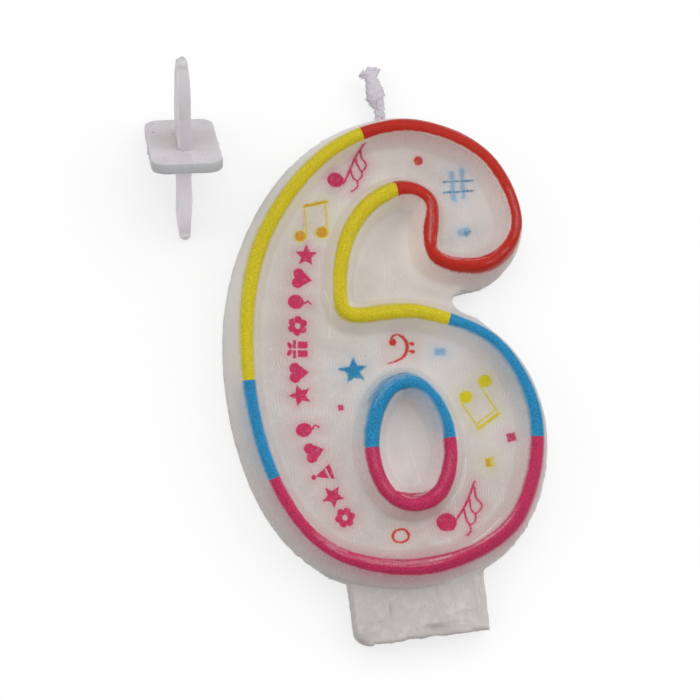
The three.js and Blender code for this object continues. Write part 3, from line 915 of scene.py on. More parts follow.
def crest_print(spots, place, across, loop, bands):
    """Colour and cover of the ink that runs along a rim."""
    inner, inner_soft, outer, outer_soft, inner_tint, outer_tint = (
        round_loop(place, loop.whole, loop.edges, column) for column in range(1, 7)
    )
    inside = across < 0
    jagged = rippled(0, spots, CREST_RIPPLES)
    gap = np.abs(across) - np.where(inside, inner, outer)
    solid = print_edge(gap + jagged, np.where(inside, inner_soft, outer_soft))
    past = np.maximum(gap, 0)
    # Tint on the walls beside the print: partly ink, partly painted coloured light through the wax
    tint = np.where(inside, inner_tint, outer_tint) * bell(past / TINT_REACH)
    tint = tint + HAZE * np.exp(-past / HAZE_REACH)
    along = place / loop.whole * loop.length
    streak = ripple(np.stack([along / 2.6, across / 0.15], -1), 1.0, 13)
    shade = 1 + 0.07 * streak + 0.05 * ripple(spots, 0.3, 14)
    sharp = ink_between(place + 0.01 * jagged, loop, bands, INK_BLEND)
    spread_out = ink_between(place, loop, bands, TINT_BLEND)
    colour = np.where((solid > tint)[:, None], sharp, spread_out) * shade[:, None]
    return rubbed_paler(colour, place, across, loop), np.maximum(solid, tint)


class Coat:
    """What is painted on a set of spots: its colour, and its cover from 0 to 1."""

    def __init__(self, colour, cover):
        self.colour = colour
        self.cover = cover

    def lay(self, ink, amount):
        """Lays ink on the spots where it covers more than what is there."""
        stronger = amount > self.cover
        self.colour[stronger] = ink[stronger] if np.ndim(ink) == 2 else ink
        self.cover = np.where(stronger, amount, self.cover)

    def lay_over(self, ink, share):
        """Lays ink over what is there."""
        under = self.cover * (1 - share)
        self.cover = under + share
        mixed = self.colour * under[:, None] + ink * share[:, None]
        self.colour = mixed / self.cover.clip(1e-6)[:, None]

    def values(self):
        return np.column_stack([self.colour, np.clip(self.cover, 0, 1)])


def print_rims(spots, ground):
    """The coat of ink that the rims leave, with the streaks beside the counter's rim."""
    colour, cover = crest_print(spots, ground.place, ground.rim, outline, RIM_BANDS)
    coat = Coat(colour, np.where(ground.in_counter, 0, cover))
    ink, amount = crest_print(spots, ground.turn, ground.hole, counter, COUNTER_BANDS)
    coat.lay(ink, amount * (np.abs(ground.hole) < COUNTER_PRINT_REACH))
    on_foot = (spots[:, 1] < NUMERAL_END) & (ground.rim > FOOT_PRINT_REACH)
    coat.cover = np.where(on_foot, 0, coat.cover)
    for turn, line, wide, reach, amount in COUNTER_STREAKS:
        away = round_gap(ground.turn - turn, 1) / reach
        wave = line + 0.06 * ripple(spots, 0.8, 20)
        strip = print_edge(np.abs(ground.hole - wave) - wide, 0.06) * (1 - smoothstep(away, 0.5, 1))
        coat.lay(ink_between(ground.turn, counter, COUNTER_BANDS, STREAK_BLEND), amount * strip)
    return coat


def printed(spots, ground):
    """Ink colour and cover, from 0 to 1, of each spot of the wax."""
    coat = print_rims(spots, ground)
    rough = rippled(0, spots, MOTIF_RIPPLES)
    on_floor = (ground.rim < -MOTIF_CLEARANCE) & (ground.hole > MOTIF_CLEARANCE)
    for ink, distance, soft, strength, tint in motifs(spots):
        halo = tint * np.exp(-((np.maximum(distance, 0) / HALO_REACH) ** 1.2))
        worn = 1 - 0.15 * smoothstep(ripple(spots, 0.3, 18), 0.2, 0.9)
        amount = strength * worn * print_edge(distance + rough, soft)
        coat.lay(linear(ink), np.where(on_floor, np.maximum(amount, halo), 0))
    for line in SCRATCHES:
        share = MARK_SHARE * print_edge(curved(spots, line, SCRATCH_HALF), 0.1)
        coat.lay_over(linear(SCRATCH), share)
    for speck in SPECKS:
        coat.lay(linear(SPECK), MARK_SHARE * print_edge(disc(spots, speck, SPECK_RADIUS), 0.06))
    return coat.values()


def painted_light_and_shade(ground, height):
    """Painted light, standing for light through the wax, above 0, and painted shade, below 0."""
    inner = round_loop(ground.place, KNOTS, WALL_PAINTED_LIGHT, 1)
    outer = round_loop(ground.place, KNOTS, WALL_PAINTED_LIGHT, 2)
    by_hole = np.abs(ground.hole) < np.abs(ground.rim)
    inner = np.where(by_hole, round_loop(ground.turn, 1.0, COUNTER_PAINTED_LIGHT, 1), inner)
    faded = 1 - smoothstep(ground.reach, *GLOW_FADE)
    share = web_share(ground.place)
    glow = np.where(ground.in_stroke, inner * faded, outer * (1 - share + faded * share))
    in_hole = round_loop(ground.turn, 1.0, COUNTER_PAINTED_LIGHT, 2) - MID_PAINTED_LIGHT
    in_hole = MID_PAINTED_LIGHT + in_hole * (1 - smoothstep(np.abs(ground.hole), *MID_GLOW_FADE))
    glow = np.where(ground.in_counter, in_hole, glow)
    for spot, reach, more in PAINTED_LIGHT_PATCHES:
        glow = glow + more * bell(np.hypot(*(ground.spots - spot).T) / reach)
    return np.clip(glow, -1, 1) * smoothstep(height, 0.0, GLOW_HEIGHT)


def foot_tone(ground, shade):
    """The foot's streaky grey, darkened by painted shade where the painted light and shade passed in is
    below 0.
    """
    bent = ground.spots @ np.array([[1, 0.5], [-0.5, 1]]) + 0.5 * ripple(ground.spots, 0.9, 38)[:, None]
    streaks = ripple(bent * (1, 0.45), 0.5, 36) + 0.7 * ripple(bent * (1, 0.6), 1.3, 37)
    streaks = smoothstep(streaks, 0.1, 1.2) * 0.3 + np.minimum(shade, 0)
    return linear(FOOT_GREY) + (linear(FOOT_STREAK) - linear(FOOT_GREY)) * streaks[:, None]


def wax_tone(ground, height):
    """Colour and share of the painted light through the walls, the painted shade, and the foot's own grey.
    """
    glow = painted_light_and_shade(ground, height)
    # Painted light where it is above 0, painted shade below
    tone = np.where((glow > 0)[:, None], linear(PAINTED_LIGHT), linear(PAINTED_SHADE))
    below = (ground.spots[:, 1] < NUMERAL_END + 1) & (ground.rim > 2.8)
    low = below & (height < FOOT_HEIGHT + 0.8)
    foot_share = np.where(low, smoothstep(ground.rim, 3.0, 3.7), 0)
    tone = tone * (1 - foot_share)[:, None] + foot_tone(ground, glow) * foot_share[:, None]
    amount = np.abs(glow) * (1 - foot_share) + FOOT_TONE_SHARE * foot_share
    return np.column_stack([tone, np.clip(amount, 0, 1)])


# Meshes


def mesh_of(name, points, faces):
    """A mesh in metres from points in millimetres."""
    mesh = bpy.data.meshes.new(name)
    mesh.from_pydata((np.asarray(points) * MM).tolist(), [], faces)
    mesh.validate()
    mesh.update()
    return mesh


def linked(name, data):
    """An object of a mesh, lamp or lens, in the scene."""
    made = bpy.data.objects.new(name, data)
    bpy.context.scene.collection.objects.link(made)
    return made


def new_piece(mesh, body, material, nodes):
    """An object of a mesh, riding a body."""
    mesh.shade_smooth()
    piece = linked(mesh.name, mesh)
    mesh.materials.append(material)
    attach(piece, body)
    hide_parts(*nodes)
    return piece


def spots_of(mesh):
    """The points of a mesh in millimetres."""
    flat = np.empty(3 * len(mesh.vertices), np.float32)
    mesh.vertices.foreach_get("co", flat)
    return flat.reshape(-1, 3).astype(float) / MM


def applied(name, source):
    """The mesh of an object with its modifiers applied, in place of the object."""
    bpy.context.view_layer.update()
    evaluated = source.evaluated_get(bpy.context.evaluated_depsgraph_get())
    result = bpy.data.meshes.new_from_object(evaluated)
    bpy.data.objects.remove(source)
    result.name = name
    return result


def carved(name, mesh, tools, operation):
    """A closed mesh joined with others, or with others cut out of it."""
    main = linked(name, mesh)
    others = [linked(tool.name, tool) for tool in tools]
    for other in others:
        change = main.modifiers.new("carve", "BOOLEAN")
        change.object = other
        change.operation = operation
        change.solver = "EXACT"
    result = applied(name, main)
    for other in others:
        bpy.data.objects.remove(other)
    result.materials.clear()
    return result


def triangulated(spots, count):
    """Points and faces over an outline, which the first spots are, and the outline's new numbers."""
    ring = list(range(count))
    found = delaunay_2d_cdt([Vector(spot) for spot in spots], [], [ring], 1, 1e-6)
    flat = np.array([(v.x, v.y) for v in found[0]])
    came_from = {source: k for k, sources in enumerate(found[3]) for source in sources}
    return flat, [tuple(face) for face in found[2]], np.array([came_from[k] for k in ring])


def walls(levels):
    """Faces between rings of points, one above another, each given by its points' numbers."""
    faces = []
    for upper, lower in zip(levels[:-1], levels[1:]):
        for k in range(len(upper)):
            n = (k + 1) % len(upper)
            faces.append((int(upper[k]), int(upper[n]), int(lower[n]), int(lower[k])))
    return faces


def tube_faces(rings, sides):
    """Faces of a closed tube through rings of points, with a cap at each end."""
    faces = []
    for i in range(rings - 1):
        for j in range(sides):
            k = (j + 1) % sides
            faces.append((i * sides + j, (i + 1) * sides + j, (i + 1) * sides + k, i * sides + k))
    faces.append(tuple(range(sides)))
    faces.append(tuple((rings - 1) * sides + j for j in range(sides - 1, -1, -1)))
    return faces


def box_mesh(name, low, high):
    corners = [(x, y, z) for x in (low[0], high[0]) for y in (low[1], high[1]) for z in (low[2], high[2])]
    faces = [(0, 1, 3, 2), (4, 6, 7, 5), (0, 4, 5, 1), (2, 3, 7, 6), (0, 2, 6, 4), (1, 5, 7, 3)]
    return mesh_of(name, corners, faces)


def paint(mesh, **layers):
    """Keeps colours with the points of a mesh: its ink, and the painted light, painted shade and foot grey
    of the wax under it.
    """
    for name, values in layers.items():
        layer = mesh.color_attributes.new(name, "FLOAT_COLOR", "POINT")
        layer.data.foreach_set("color", np.asarray(values, np.float32).ravel())


# Chips in the foot's end: place across, half width and depth
FOOT_CHIPS = [(-7.3, 0.3, 0.12), (-1.9, 0.9, 0.25), (1.9, 1.3, 0.2), (5.6, 0.25, 0.12)]


def foot_outline():
    """Corners of the foot below the numeral, from its right side round to its left."""
    half = FOOT_WIDTH / 2
    root = NUMERAL_END + 1
    side = np.arange(root, FOOT_END + 0.3, -FOOT_STEP)
    right = np.stack([half + np.interp(side, (FOOT_END, root), FOOT_RIGHT), side], -1)
    across = np.arange(half + 0.1, -half + FOOT_CORNER, -FOOT_STEP)
    bottom = np.stack([across, FOOT_END + FOOT_SLANT * (across + half) / FOOT_WIDTH], -1)
    turn = np.radians(np.arange(270, 180, -9))
    centre = np.array([-half + FOOT_CORNER, FOOT_END + FOOT_CORNER])
    corner = centre + FOOT_CORNER * np.stack([np.cos(turn), np.sin(turn)], -1)
    side = np.arange(FOOT_END + FOOT_CORNER, root, FOOT_STEP)
    edge = np.vstack([right, bottom, corner, np.stack([np.full(len(side), -half), side], -1)])
    edge[:, 0] += np.interp(edge[:, 1], (FOOT_END, root), FOOT_LEFT) * np.clip(-edge[:, 0] / half, 0, 1)
    low = edge[:, 1] < FOOT_END + 1
    edge[:, 1] += rippled(0, edge, FOOT_END_RIPPLES) * low
    for x, wide, deep in FOOT_CHIPS:
        edge[:, 1] += deep * bell((edge[:, 0] - x) / wide) * low
    edge[:, 0] += 0.06 * ripple(edge, 0.7, 22)
    return edge


def body_outline():
    """Clockwise outline of the candle on the table, and which of its points have a soft upper edge."""
    points, outward, places = outline.between(NOTCH_PLACES[1], KNOTS + NOTCH_PLACES[0], STATION_STEP)
    edge = points + outward * base_reach(points, places)[:, None]
    foot = foot_outline()
    half = FOOT_WIDTH / 2
    over_foot = (edge[:, 0] < half + FOOT_RIGHT[1]) & (edge[:, 0] > FOOT_LEFT[1] - half)
    inside = np.flatnonzero((edge[:, 1] < NUMERAL_END) & over_foot)
    bottom = edge[inside][np.argsort(edge[inside][:, 0])]
    keep_foot = foot[foot[:, 1] < np.interp(foot[:, 0], *bottom.T) - 0.1]
    first, last = edge[: inside[0]], edge[inside[-1] + 1 :]
    free = open_curve([last[-1], *NOTCH_EDGE, first[0]], STATION_STEP)[1:-1]
    whole = np.vstack([first, keep_foot, last, free])
    soft = np.zeros(len(whole), bool)
    soft[len(first) : len(first) + len(keep_foot)] = True
    soft[len(whole) - len(free) :] = True
    return whole, soft


def hex_grid(low, high, step):
    """Spots in a grid of equal triangles."""
    columns = np.arange(low[0], high[0], step)
    lines = np.arange(low[1], high[1], step * TRIANGLE_RISE)
    grid = np.stack(np.meshgrid(columns, lines), -1)
    grid[1::2, :, 0] += step / 2
    return grid.reshape(-1, 2)


def inside_polygon(spots, corners):
    """Which spots lie inside a polygon."""
    inside = np.zeros(len(spots), bool)
    x, y = spots.T
    for (ax, ay), (bx, by) in zip(corners, np.roll(corners, -1, axis=0)):
        crosses = (ay > y) != (by > y)
        if not crosses.any():
            continue
        at = ax + (y - ay) / (by - ay if by != ay else 1e-9) * (bx - ax)
        inside ^= crosses & (x < at)
    return inside


# Share of the web from which it has rows of points of its own
WEB_TRACE = 0.02

# Reaches from the middle of a rim at which the wax has a row of points
SEAT_REACHES = [0.0, SEAT_HALF, BAND_HALF]
SIDE_REACHES = [1.07, 1.16, 1.28, 1.42, 1.58, 1.75, 1.92, 2.09, 2.26, 2.42, 2.56, 2.7, 2.84, 3.0, 3.2, 3.42]
WALL_SHARES = [0.03, 0.07, 0.13, 0.2, 0.28, 0.37, 0.46, 0.55, 0.64, 0.73, 0.82, 0.9, 0.96]


def rim_spots(loop):
    """Spots in rows beside a loop, and how far each is from the loop."""
    points, outward, places = (values[:-1] for values in loop.between(0, loop.whole, STATION_STEP))
    everywhere = np.ones(len(points), bool)
    by_web = web_share(places) > WEB_TRACE if loop is outline else everywhere
    rows = []
    for reach in SEAT_REACHES + SIDE_REACHES:
        for side in (-1, 1) if reach else (1,):
            use = by_web if side > 0 and reach > BAND_HALF else everywhere
            rows.append((points[use] + side * reach * outward[use], np.full(use.sum(), reach)))
    if loop is outline:
        base = base_reach(points, places)
        for share in WALL_SHARES:
            reach = (BAND_HALF + share * (base - BAND_HALF))[~by_web]
            rows.append((points[~by_web] + reach[:, None] * outward[~by_web], reach))
    return np.vstack([row for row, _ in rows]), np.concatenate([reach for _, reach in rows])


def wax_spots(edge):
    """All the spots of the wax's upper surface but those of its outline."""
    spots = []
    for loop in (outline, counter):
        rows, reaches = rim_spots(loop)
        spots.append(rows[Ground(rows).reach > reaches - 0.02])
    low, high = edge.min(axis=0), edge.max(axis=0)
    grid = hex_grid(low, high, FLOOR_STEP)
    ground = Ground(grid)
    far = ground.reach > SIDE_REACHES[-1] + FLOOR_STEP * 0.7
    spots.append(grid[far | ((grid[:, 1] < NUMERAL_END) & (ground.rim > FOOT_GAP))])
    fine = hex_grid(low, high, INK_STEP)
    ground = Ground(fine)
    fine = fine[(ground.reach > SIDE_REACHES[-1]) & ground.in_stroke]
    edges = [np.abs(distance) - soft for _, distance, soft, _, _ in motifs(fine)]
    spots = np.vstack([*spots, fine[np.minimum.reduce(edges) < INK_MARGIN]])
    return spots[inside_polygon(spots, edge + Loop.normals(edge) * -0.06)]


def soften_edge(spots, heights, edge):
    """Rounds the upper edge along a part of the outline that is cut square."""
    tree = tree_of(edge)
    gap = np.array([tree.find((x, y, 0))[2] for x, y in spots])
    share = np.clip(1 - gap / FOOT_EDGE, 0, 1)
    return heights - FOOT_EDGE * (1 - np.sqrt(np.clip(1 - share**2, 0, 1)))


# Lumps and dents of the foot: place across, place above its end, half width, half height and rise
FOOT_LUMPS = [
    (-6.9, 5.9, 0.8, 1.3, 0.4), (-5.9, 3.9, 0.7, 1.0, 0.3), (-4.5, 5.3, 0.18, 1.5, -0.3),
    (-3.7, 5.0, 0.3, 1.1, 0.2), (1.7, 1.7, 1.4, 0.5, -0.7), (1.6, 0.9, 0.5, 0.5, -0.4),
    (-9.4, 0.3, 0.8, 0.6, -0.7), (-1.7, 0.1, 1.3, 0.6, -0.5), (9.3, 5.0, 0.1, 3.0, 0.2),
    (5.5, 2.5, 1.6, 0.25, 0.2), (3.0, 7.0, 0.3, 1.4, -0.15),
]


def foot_height(spots):
    """Lumpy upper face of the foot, with creases, chips and a dent by its lower edge."""
    height = rippled(FOOT_HEIGHT, spots, FOOT_RIPPLES)
    bent = spots + 0.8 * ripple(spots, 1.7, 34)[:, None]
    height = height + CREASE_RISE * np.clip(1 - np.abs(ripple(bent, 2.7, 35)) * 5, 0, 1)
    for x, y, wide, tall, rise in FOOT_LUMPS:
        height = height + rise * bell((spots[:, 0] - x) / wide, (spots[:, 1] - FOOT_END - y) / tall)
    return height


def wax_solid():
    """The wax without its slot: the upper surface, the wall's foot and the flat back."""
    edge, soft = body_outline()
    count = len(edge)
    flat, faces, ring = triangulated(np.vstack([edge, wax_spots(edge)]), count)
    ground = Ground(flat)
    height = ground.height()
    beside = np.abs(flat[:, 0]) < FOOT_WIDTH / 2 + 0.5
    below = (flat[:, 1] < NUMERAL_END + 2) & beside & (ground.rim > 0)
    height = np.where(below, soft_max(height, foot_height(flat), 0.1), height)
    height = soften_edge(flat, height, edge[soft])
    height = np.where(ground.reach < (SEAT_HALF + BAND_HALF) / 2, LAND_HEIGHT, height)
    points = np.column_stack([flat, height])
    rows = [points[ring] for _ in range(3)]
    for row, share in zip(rows, (0.55, 0.0)):
        row[:, 2] = BACK_BEVEL + (row[:, 2] - BACK_BEVEL) * share
    rows[2][:, :2] -= Loop.normals(rows[2][:, :2]) * 0.1
    rows[2][:, 2] = 0
    levels = [ring] + [len(points) + k * count + np.arange(count) for k in range(3)]
    faces += walls(levels)
    faces.append(tuple(int(k) for k in levels[-1]))
    return mesh_of("wax_solid", np.vstack([points, *rows]), faces)


def wax_body():
    low = (-SLOT_WIDTH / 2, FOOT_END - 1, SLOT_MIDDLE - SLOT_HEIGHT / 2)
    high = (SLOT_WIDTH / 2, FOOT_END + SLOT_DEPTH, SLOT_MIDDLE + SLOT_HEIGHT / 2)
    mesh = carved("wax_casting", wax_solid(), [box_mesh("slot_space", low, high)], "DIFFERENCE")
    final = spots_of(mesh)
    ground = Ground(final[:, :2])
    values = printed(final[:, :2], ground)
    values[final[:, 2] < LOWEST_PRINT, 3] = 0
    # The wax's painted light and shade, with the foot's grey, go in a layer of their own
    paint(mesh, print=values, tone=wax_tone(ground, final[:, 2]))
    mesh.set_sharp_from_angle(angle=SHARP_ANGLE)
    return new_piece(mesh, "candle", waxy("wax_printed", 0.42, 0.7), ["wax_body"])


def crest_band(band, slot, ink, first, last, loop, material):
    """One colour's stretch of the rim's crest, a closed strip on the wax's flat seat."""
    points, outward, places = loop.between(first, last, STATION_STEP)
    across = BAND_HALF * np.sin(np.linspace(-1, 1, 19) * math.pi / 2)
    rows = points[:, None, :] + across[None, :, None] * outward[:, None, :]
    flat = rows.reshape(-1, 2)
    top = np.column_stack([flat, np.tile(recess_side(np.abs(across), FLOOR_HEIGHT), len(points))])
    under = np.column_stack([rows[:, [0, -1]].reshape(-1, 2), np.full(2 * len(points), LAND_HEIGHT + 0.01)])
    wide, base = len(across), len(top)
    faces = []
    for i in range(len(points) - 1):
        start, end, low = i * wide, (i + 1) * wide, base + 2 * i
        for here in range(start, end - 1):
            faces.append((here, here + wide, here + wide + 1, here + 1))
        faces.append((low, low + 2, end, start))
        faces.append((low + 3, low + 1, end - 1, end + wide - 1))
        faces.append((low + 1, low + 3, low + 2, low))
    faces.append((base + 1, base, *range(0, wide)))
    end = base + 2 * len(points)
    faces.append((end - 2, end - 1, *range(base - 1, base - wide - 1, -1)))
    mesh = mesh_of(band + "_print", np.vstack([top, under]), faces)
    at, sideways = np.repeat(places, wide), np.tile(across, len(points))
    colour, cover = crest_print(flat, at, sideways, loop, [(band, slot, ink, first, last)])
    values = np.tile(np.append(linear(ink), 1.0), (end, 1))
    values[:base] = Coat(colour, cover).values()
    # Painted light over the crest's wax, under its ink
    paint(mesh, print=values, tone=np.tile(np.append(linear(PAINTED_LIGHT), 0.3), (end, 1)))
    mesh.set_sharp_from_angle(angle=SHARP_ANGLE)
    return new_piece(mesh, "candle", material, [band])


# Materials


def start_material(name, **sockets):
    """A material with a Principled shader, whose plain sockets are set here."""
    material = bpy.data.materials.new(name)
    material.use_nodes = True
    tree = material.node_tree
    shader = tree.nodes["Principled BSDF"]
    for key, value in sockets.items():
        shader.inputs[key.replace("_", " ")].default_value = value
    return material, tree, shader, node(tree, "TexCoord", {}).outputs["Object"]


def join(tree, value, socket):
    """Links a socket to another, or sets it: three numbers together are an sRGB colour."""
    if isinstance(value, bpy.types.NodeSocket):
        tree.links.new(value, socket)
    elif isinstance(value, tuple) and len(value) == 3:
        socket.default_value = (*linear(value), 1)
    else:
        socket.default_value = value


def node(tree, kind, inputs, **settings):
    """A new node of a kind, with its settings and what goes into it."""
    made = tree.nodes.new("ShaderNode" + kind)
    for key, value in settings.items():
        setattr(made, key, value)
    for key, value in inputs.items():
        join(tree, value, made.inputs[key])
    return made


def noise(tree, place, size, detail):
    """Noise from 0 to 1 with features of about one size in millimetres."""
    inputs = {"Scale": 1 / (size * MM), "Detail": detail, "Vector": place}
    return node(tree, "TexNoise", inputs).outputs["Fac"]


def spread(tree, value, low, high, start=0.3, end=0.7):
    """A range of a value carried over to another range."""
    inputs = {"From Min": start, "From Max": end, "To Min": low, "To Max": high, "Value": value}
    return node(tree, "MapRange", inputs).outputs["Result"]


def mottle(tree, place, size, detail, low=0.0, high=1.0):
    """Noise that fills a range."""
    return spread(tree, noise(tree, place, size, detail), low, high)


def arithmetic(tree, kind, first, second):
    return node(tree, "Math", {0: first, 1: second}, operation=kind).outputs[0]


def mix(tree, share, first, second, kind="MIX"):
    """Mixes two colours, each a socket or an sRGB value."""
    inputs = {"Factor": share, 6: first, 7: second}
    return node(tree, "Mix", inputs, data_type="RGBA", blend_type=kind).outputs[2]


def painted(tree, name):
    """Colour and cover that are painted on the mesh under a name."""
    layer = node(tree, "VertexColor", {}, layer_name=name)
    return layer.outputs["Color"], layer.outputs["Alpha"]


def bump(tree, shader, *layers):
    """Adds bumps to a shader: each layer is a value and its depth in millimetres."""
    before = None
    for value, depth in layers:
        made = node(tree, "Bump", {"Distance": depth * MM, "Height": value})
        if before:
            tree.links.new(before, made.inputs["Normal"])
        before = made.outputs["Normal"]
    tree.links.new(before, shader.inputs["Normal"])


def flow_lines(tree, place):
    """Fine wavy lines, as from wax that flowed into a mould, from 0 to 1."""
    inputs = {"Scale": math.tau / (20 * FLOW_SPACING * MM), "Distortion": 16.0}
    inputs.update({"Detail": 3.0, "Detail Scale": 0.4, "Vector": place})
    waves = node(tree, "TexWave", inputs, bands_direction="X")
    patches = mottle(tree, place, 3.0, 2.0)
    return arithmetic(tree, "MULTIPLY", waves.outputs["Fac"], patches)


def ink_layer(tree, grain, speckle):
    """The print kept with the mesh: its speckled colour, and its cover."""
    printed_ink, cover = painted(tree, "print")
    dark = mix(tree, speckle, printed_ink, INK_DARKER, "MULTIPLY")
    light = mix(tree, speckle, printed_ink, INK_LIGHTER, "MULTIPLY")
    ink = mix(tree, spread(tree, grain, 0.0, 1.0), dark, light)
    open_share = arithmetic(tree, "MULTIPLY", cover, arithmetic(tree, "SUBTRACT", 1.0, cover))
    scatter = arithmetic(tree, "MULTIPLY", arithmetic(tree, "SUBTRACT", grain, 0.5), 4.0)
    cover = arithmetic(tree, "ADD", cover, arithmetic(tree, "MULTIPLY", scatter, open_share))
    return ink, cover


def waxy(name, roughness, speckle):
    """Wax with its own mottle, the painted light and shade kept with the mesh, and the print of the mesh's
    colours over it.
    """
    material, tree, shader, place = start_material(
        name,
        Subsurface_Weight=0.2,
        Subsurface_Scale=0.5 * MM,
        Subsurface_Radius=(1.0, 0.75, 0.6),
        IOR=1.44,
        Specular_IOR_Level=0.2,
    )
    cloud = mottle(tree, place, 4.0, 3.0)
    fleck = mottle(tree, place, 0.45, 2.0)
    flow = flow_lines(tree, place)
    pale = spread(tree, noise(tree, place, 0.45, 1.0), 0.0, 0.5, 0.64, 0.74)
    wax = mix(tree, cloud, WAX, WAX_CLOUD)
    wax = mix(tree, arithmetic(tree, "MULTIPLY", fleck, 0.5), wax, WAX_FLECK)
    wax = mix(tree, arithmetic(tree, "MULTIPLY", flow, 0.5), wax, WAX_FLOW)
    wax = mix(tree, pale, wax, WAX_PALE)
    # Painted light and shade, and the foot's grey, kept with the mesh
    tone, share = painted(tree, "tone")
    wax = mix(tree, share, wax, tone)
    ink, cover = ink_layer(tree, noise(tree, place, 0.21, 2.0), speckle)
    join(tree, mix(tree, cover, wax, ink), shader.inputs["Base Color"])
    join(tree, spread(tree, fleck, roughness - 0.05, roughness + 0.07), shader.inputs["Roughness"])
    dents, pores = noise(tree, place, 1.2, 3.0), noise(tree, place, 0.2, 2.0)
    bump(tree, shader, (dents, 0.06), (flow, 0.014), (pores, 0.018))
    return material


def print_materials():
    """A material for each print on the rims, and how strongly its ink is speckled."""
    speckles = {"print_red": 0.8, "print_yellow": 0.5, "print_blue": 1.0, "print_magenta": 1.0}
    return {slot: waxy(slot + "_on_wax", 0.45, speckle) for slot, speckle in speckles.items()}


def plastic_material():
    """Milky moulded plastic with faint flow marks; its specks are painted on the mesh."""
    material, tree, shader, place = start_material(
        "holder_plastic",
        Subsurface_Weight=0.3,
        Subsurface_Scale=0.8 * MM,
        Subsurface_Radius=(1.0, 0.9, 0.9),
        IOR=1.49,
        Specular_IOR_Level=0.3,
    )
    cloud = mottle(tree, place, 3.0, 2.0)
    grain = mottle(tree, place, 0.3, 2.0, 0.0, 0.4)
    colour = mix(tree, cloud, PLASTIC, PLASTIC_CLOUD)
    colour = mix(tree, grain, colour, PLASTIC_GRAIN)
    marks, share = painted(tree, "print")
    join(tree, mix(tree, share, colour, marks), shader.inputs["Base Color"])
    join(tree, mottle(tree, place, 0.8, 2.0, 0.36, 0.5), shader.inputs["Roughness"])
    bump(tree, shader, (noise(tree, place, 0.9, 3.0), 0.03), (noise(tree, place, 0.25, 2.0), 0.01))
    return material


def cotton_material():
    """Waxed cotton of the wick, with a few red fibres painted on the mesh."""
    material, tree, shader, place = start_material(
        "wick_cotton",
        Roughness=0.85,
        Sheen_Weight=0.15,
        Sheen_Roughness=0.6,
        Specular_IOR_Level=0.2,
    )
    strand = mottle(tree, place, 0.25, 3.0)
    colour = mix(tree, strand, COTTON, COTTON_DARK)
    fibres, share = painted(tree, "print")
    join(tree, mix(tree, share, colour, fibres), shader.inputs["Base Color"])
    bump(tree, shader, (noise(tree, place, 0.3, 3.0), 0.05), (noise(tree, place, 0.12, 2.0), 0.02))
    return material


# Wick inside the wax, and its stub outside: place along, middle across, half width
WICK_CORE = [(2.2, -28.3, 2.2), (3.0, 30.0, 2.2), (3.3, 37.6, 2.3)]
WICK_STUB = [
    (36.2, 3.3, 0.85), (37.0, 3.36, 0.84), (38.15, 3.4, 0.83), (39.1, 3.37, 0.82), (39.44, 3.18, 0.98),
    (39.85, 3.02, 1.12), (40.65, 2.85, 1.4), (41.3, 2.86, 1.42), (42.2, 2.95, 1.36), (43.0, 2.8, 1.18),
    (43.9, 2.63, 1.0), (44.5, 2.55, 0.85), (44.9, 2.5, 0.72), (45.3, 2.5, 0.62), (45.7, 2.55, 0.5),
    (45.95, 2.6, 0.25),
]
STUB_HEIGHTS = [(36.2, 2.3), (38.0, 2.5), (41.0, 2.8), (46.2, 3.0)]
WICK_FLATNESS = 0.72
WICK_CORE_RADIUS = 0.75
WICK_SKIN_STEP = 0.09
HAIR_COUNT = 46
HAIR_LENGTHS = (0.2, 0.5)
HAIRS_FROM = 37.2

# Tufts at the frayed end: points of the middle, and radii
WICK_TUFTS = [
    ([(2.3, 44.7, 3.0), (1.6, 45.05, 3.1), (1.05, 44.85, 3.1), (0.8, 44.45, 3.0)], (0.4, 0.33, 0.32, 0.2)),
    ([(1.9, 44.4, 2.9), (1.4, 44.35, 2.9), (1.15, 44.15, 2.8)], (0.3, 0.24, 0.14)),
    ([(3.0, 43.9, 2.9), (3.4, 44.6, 3.1), (3.7, 45.3, 3.1), (4.2, 45.4, 3.0)], (0.4, 0.33, 0.33, 0.22)),
    ([(2.6, 45.5, 3.0), (3.2, 45.6, 3.1), (3.7, 45.7, 3.1)], (0.34, 0.28, 0.24)),
    ([(2.1, 45.2, 3.0), (2.3, 45.8, 3.1), (2.4, 46.05, 3.1)], (0.35, 0.26, 0.12)),
    ([(3.9, 42.6, 2.8), (4.25, 41.8, 2.7), (4.55, 41.05, 2.6)], (0.3, 0.2, 0.05)),
]

# Red fibres on the wick: points, half width
WICK_THREADS = [
    ([(3.0, 40.25), (2.86, 39.5), (2.92, 39.1), (3.25, 38.85), (3.62, 38.72)], 0.05),
    ([(3.0, 37.15), (3.35, 37.3), (3.75, 37.6)], 0.12),
]


def tube(path, radii, sides):
    """Points and faces of a closed tube along a path, with a radius at each point."""
    path = np.asarray(path, float)
    radii = np.broadcast_to(radii, len(path))
    ahead = np.gradient(path, axis=0)
    ahead /= np.linalg.norm(ahead, axis=1)[:, None]
    side = np.cross(ahead, (0.05, 0.1, 1.0))
    side /= np.linalg.norm(side, axis=1)[:, None]
    up = np.cross(side, ahead)
    turn = np.linspace(0, math.tau, sides, endpoint=False)[None, :, None]
    ring = np.cos(turn) * side[:, None] + np.sin(turn) * up[:, None]
    points = path[:, None] + ring * radii[:, None, None]
    return points.reshape(-1, 3), tube_faces(len(path), sides)


def joined(parts):
    """Points and faces of several forms as one."""
    points, faces, start = [], [], 0
    for some, their_faces in parts:
        points.append(some)
        faces.extend(tuple(k + start for k in face) for face in their_faces)
        start += len(some)
    return np.vstack(points), faces


def remeshed(name, mesh, size):
    """One closed skin round overlapping closed forms."""
    source = linked(name, mesh)
    change = source.modifiers.new("skin", "REMESH")
    change.mode = "VOXEL"
    change.voxel_size = size * MM
    return applied(name, source)


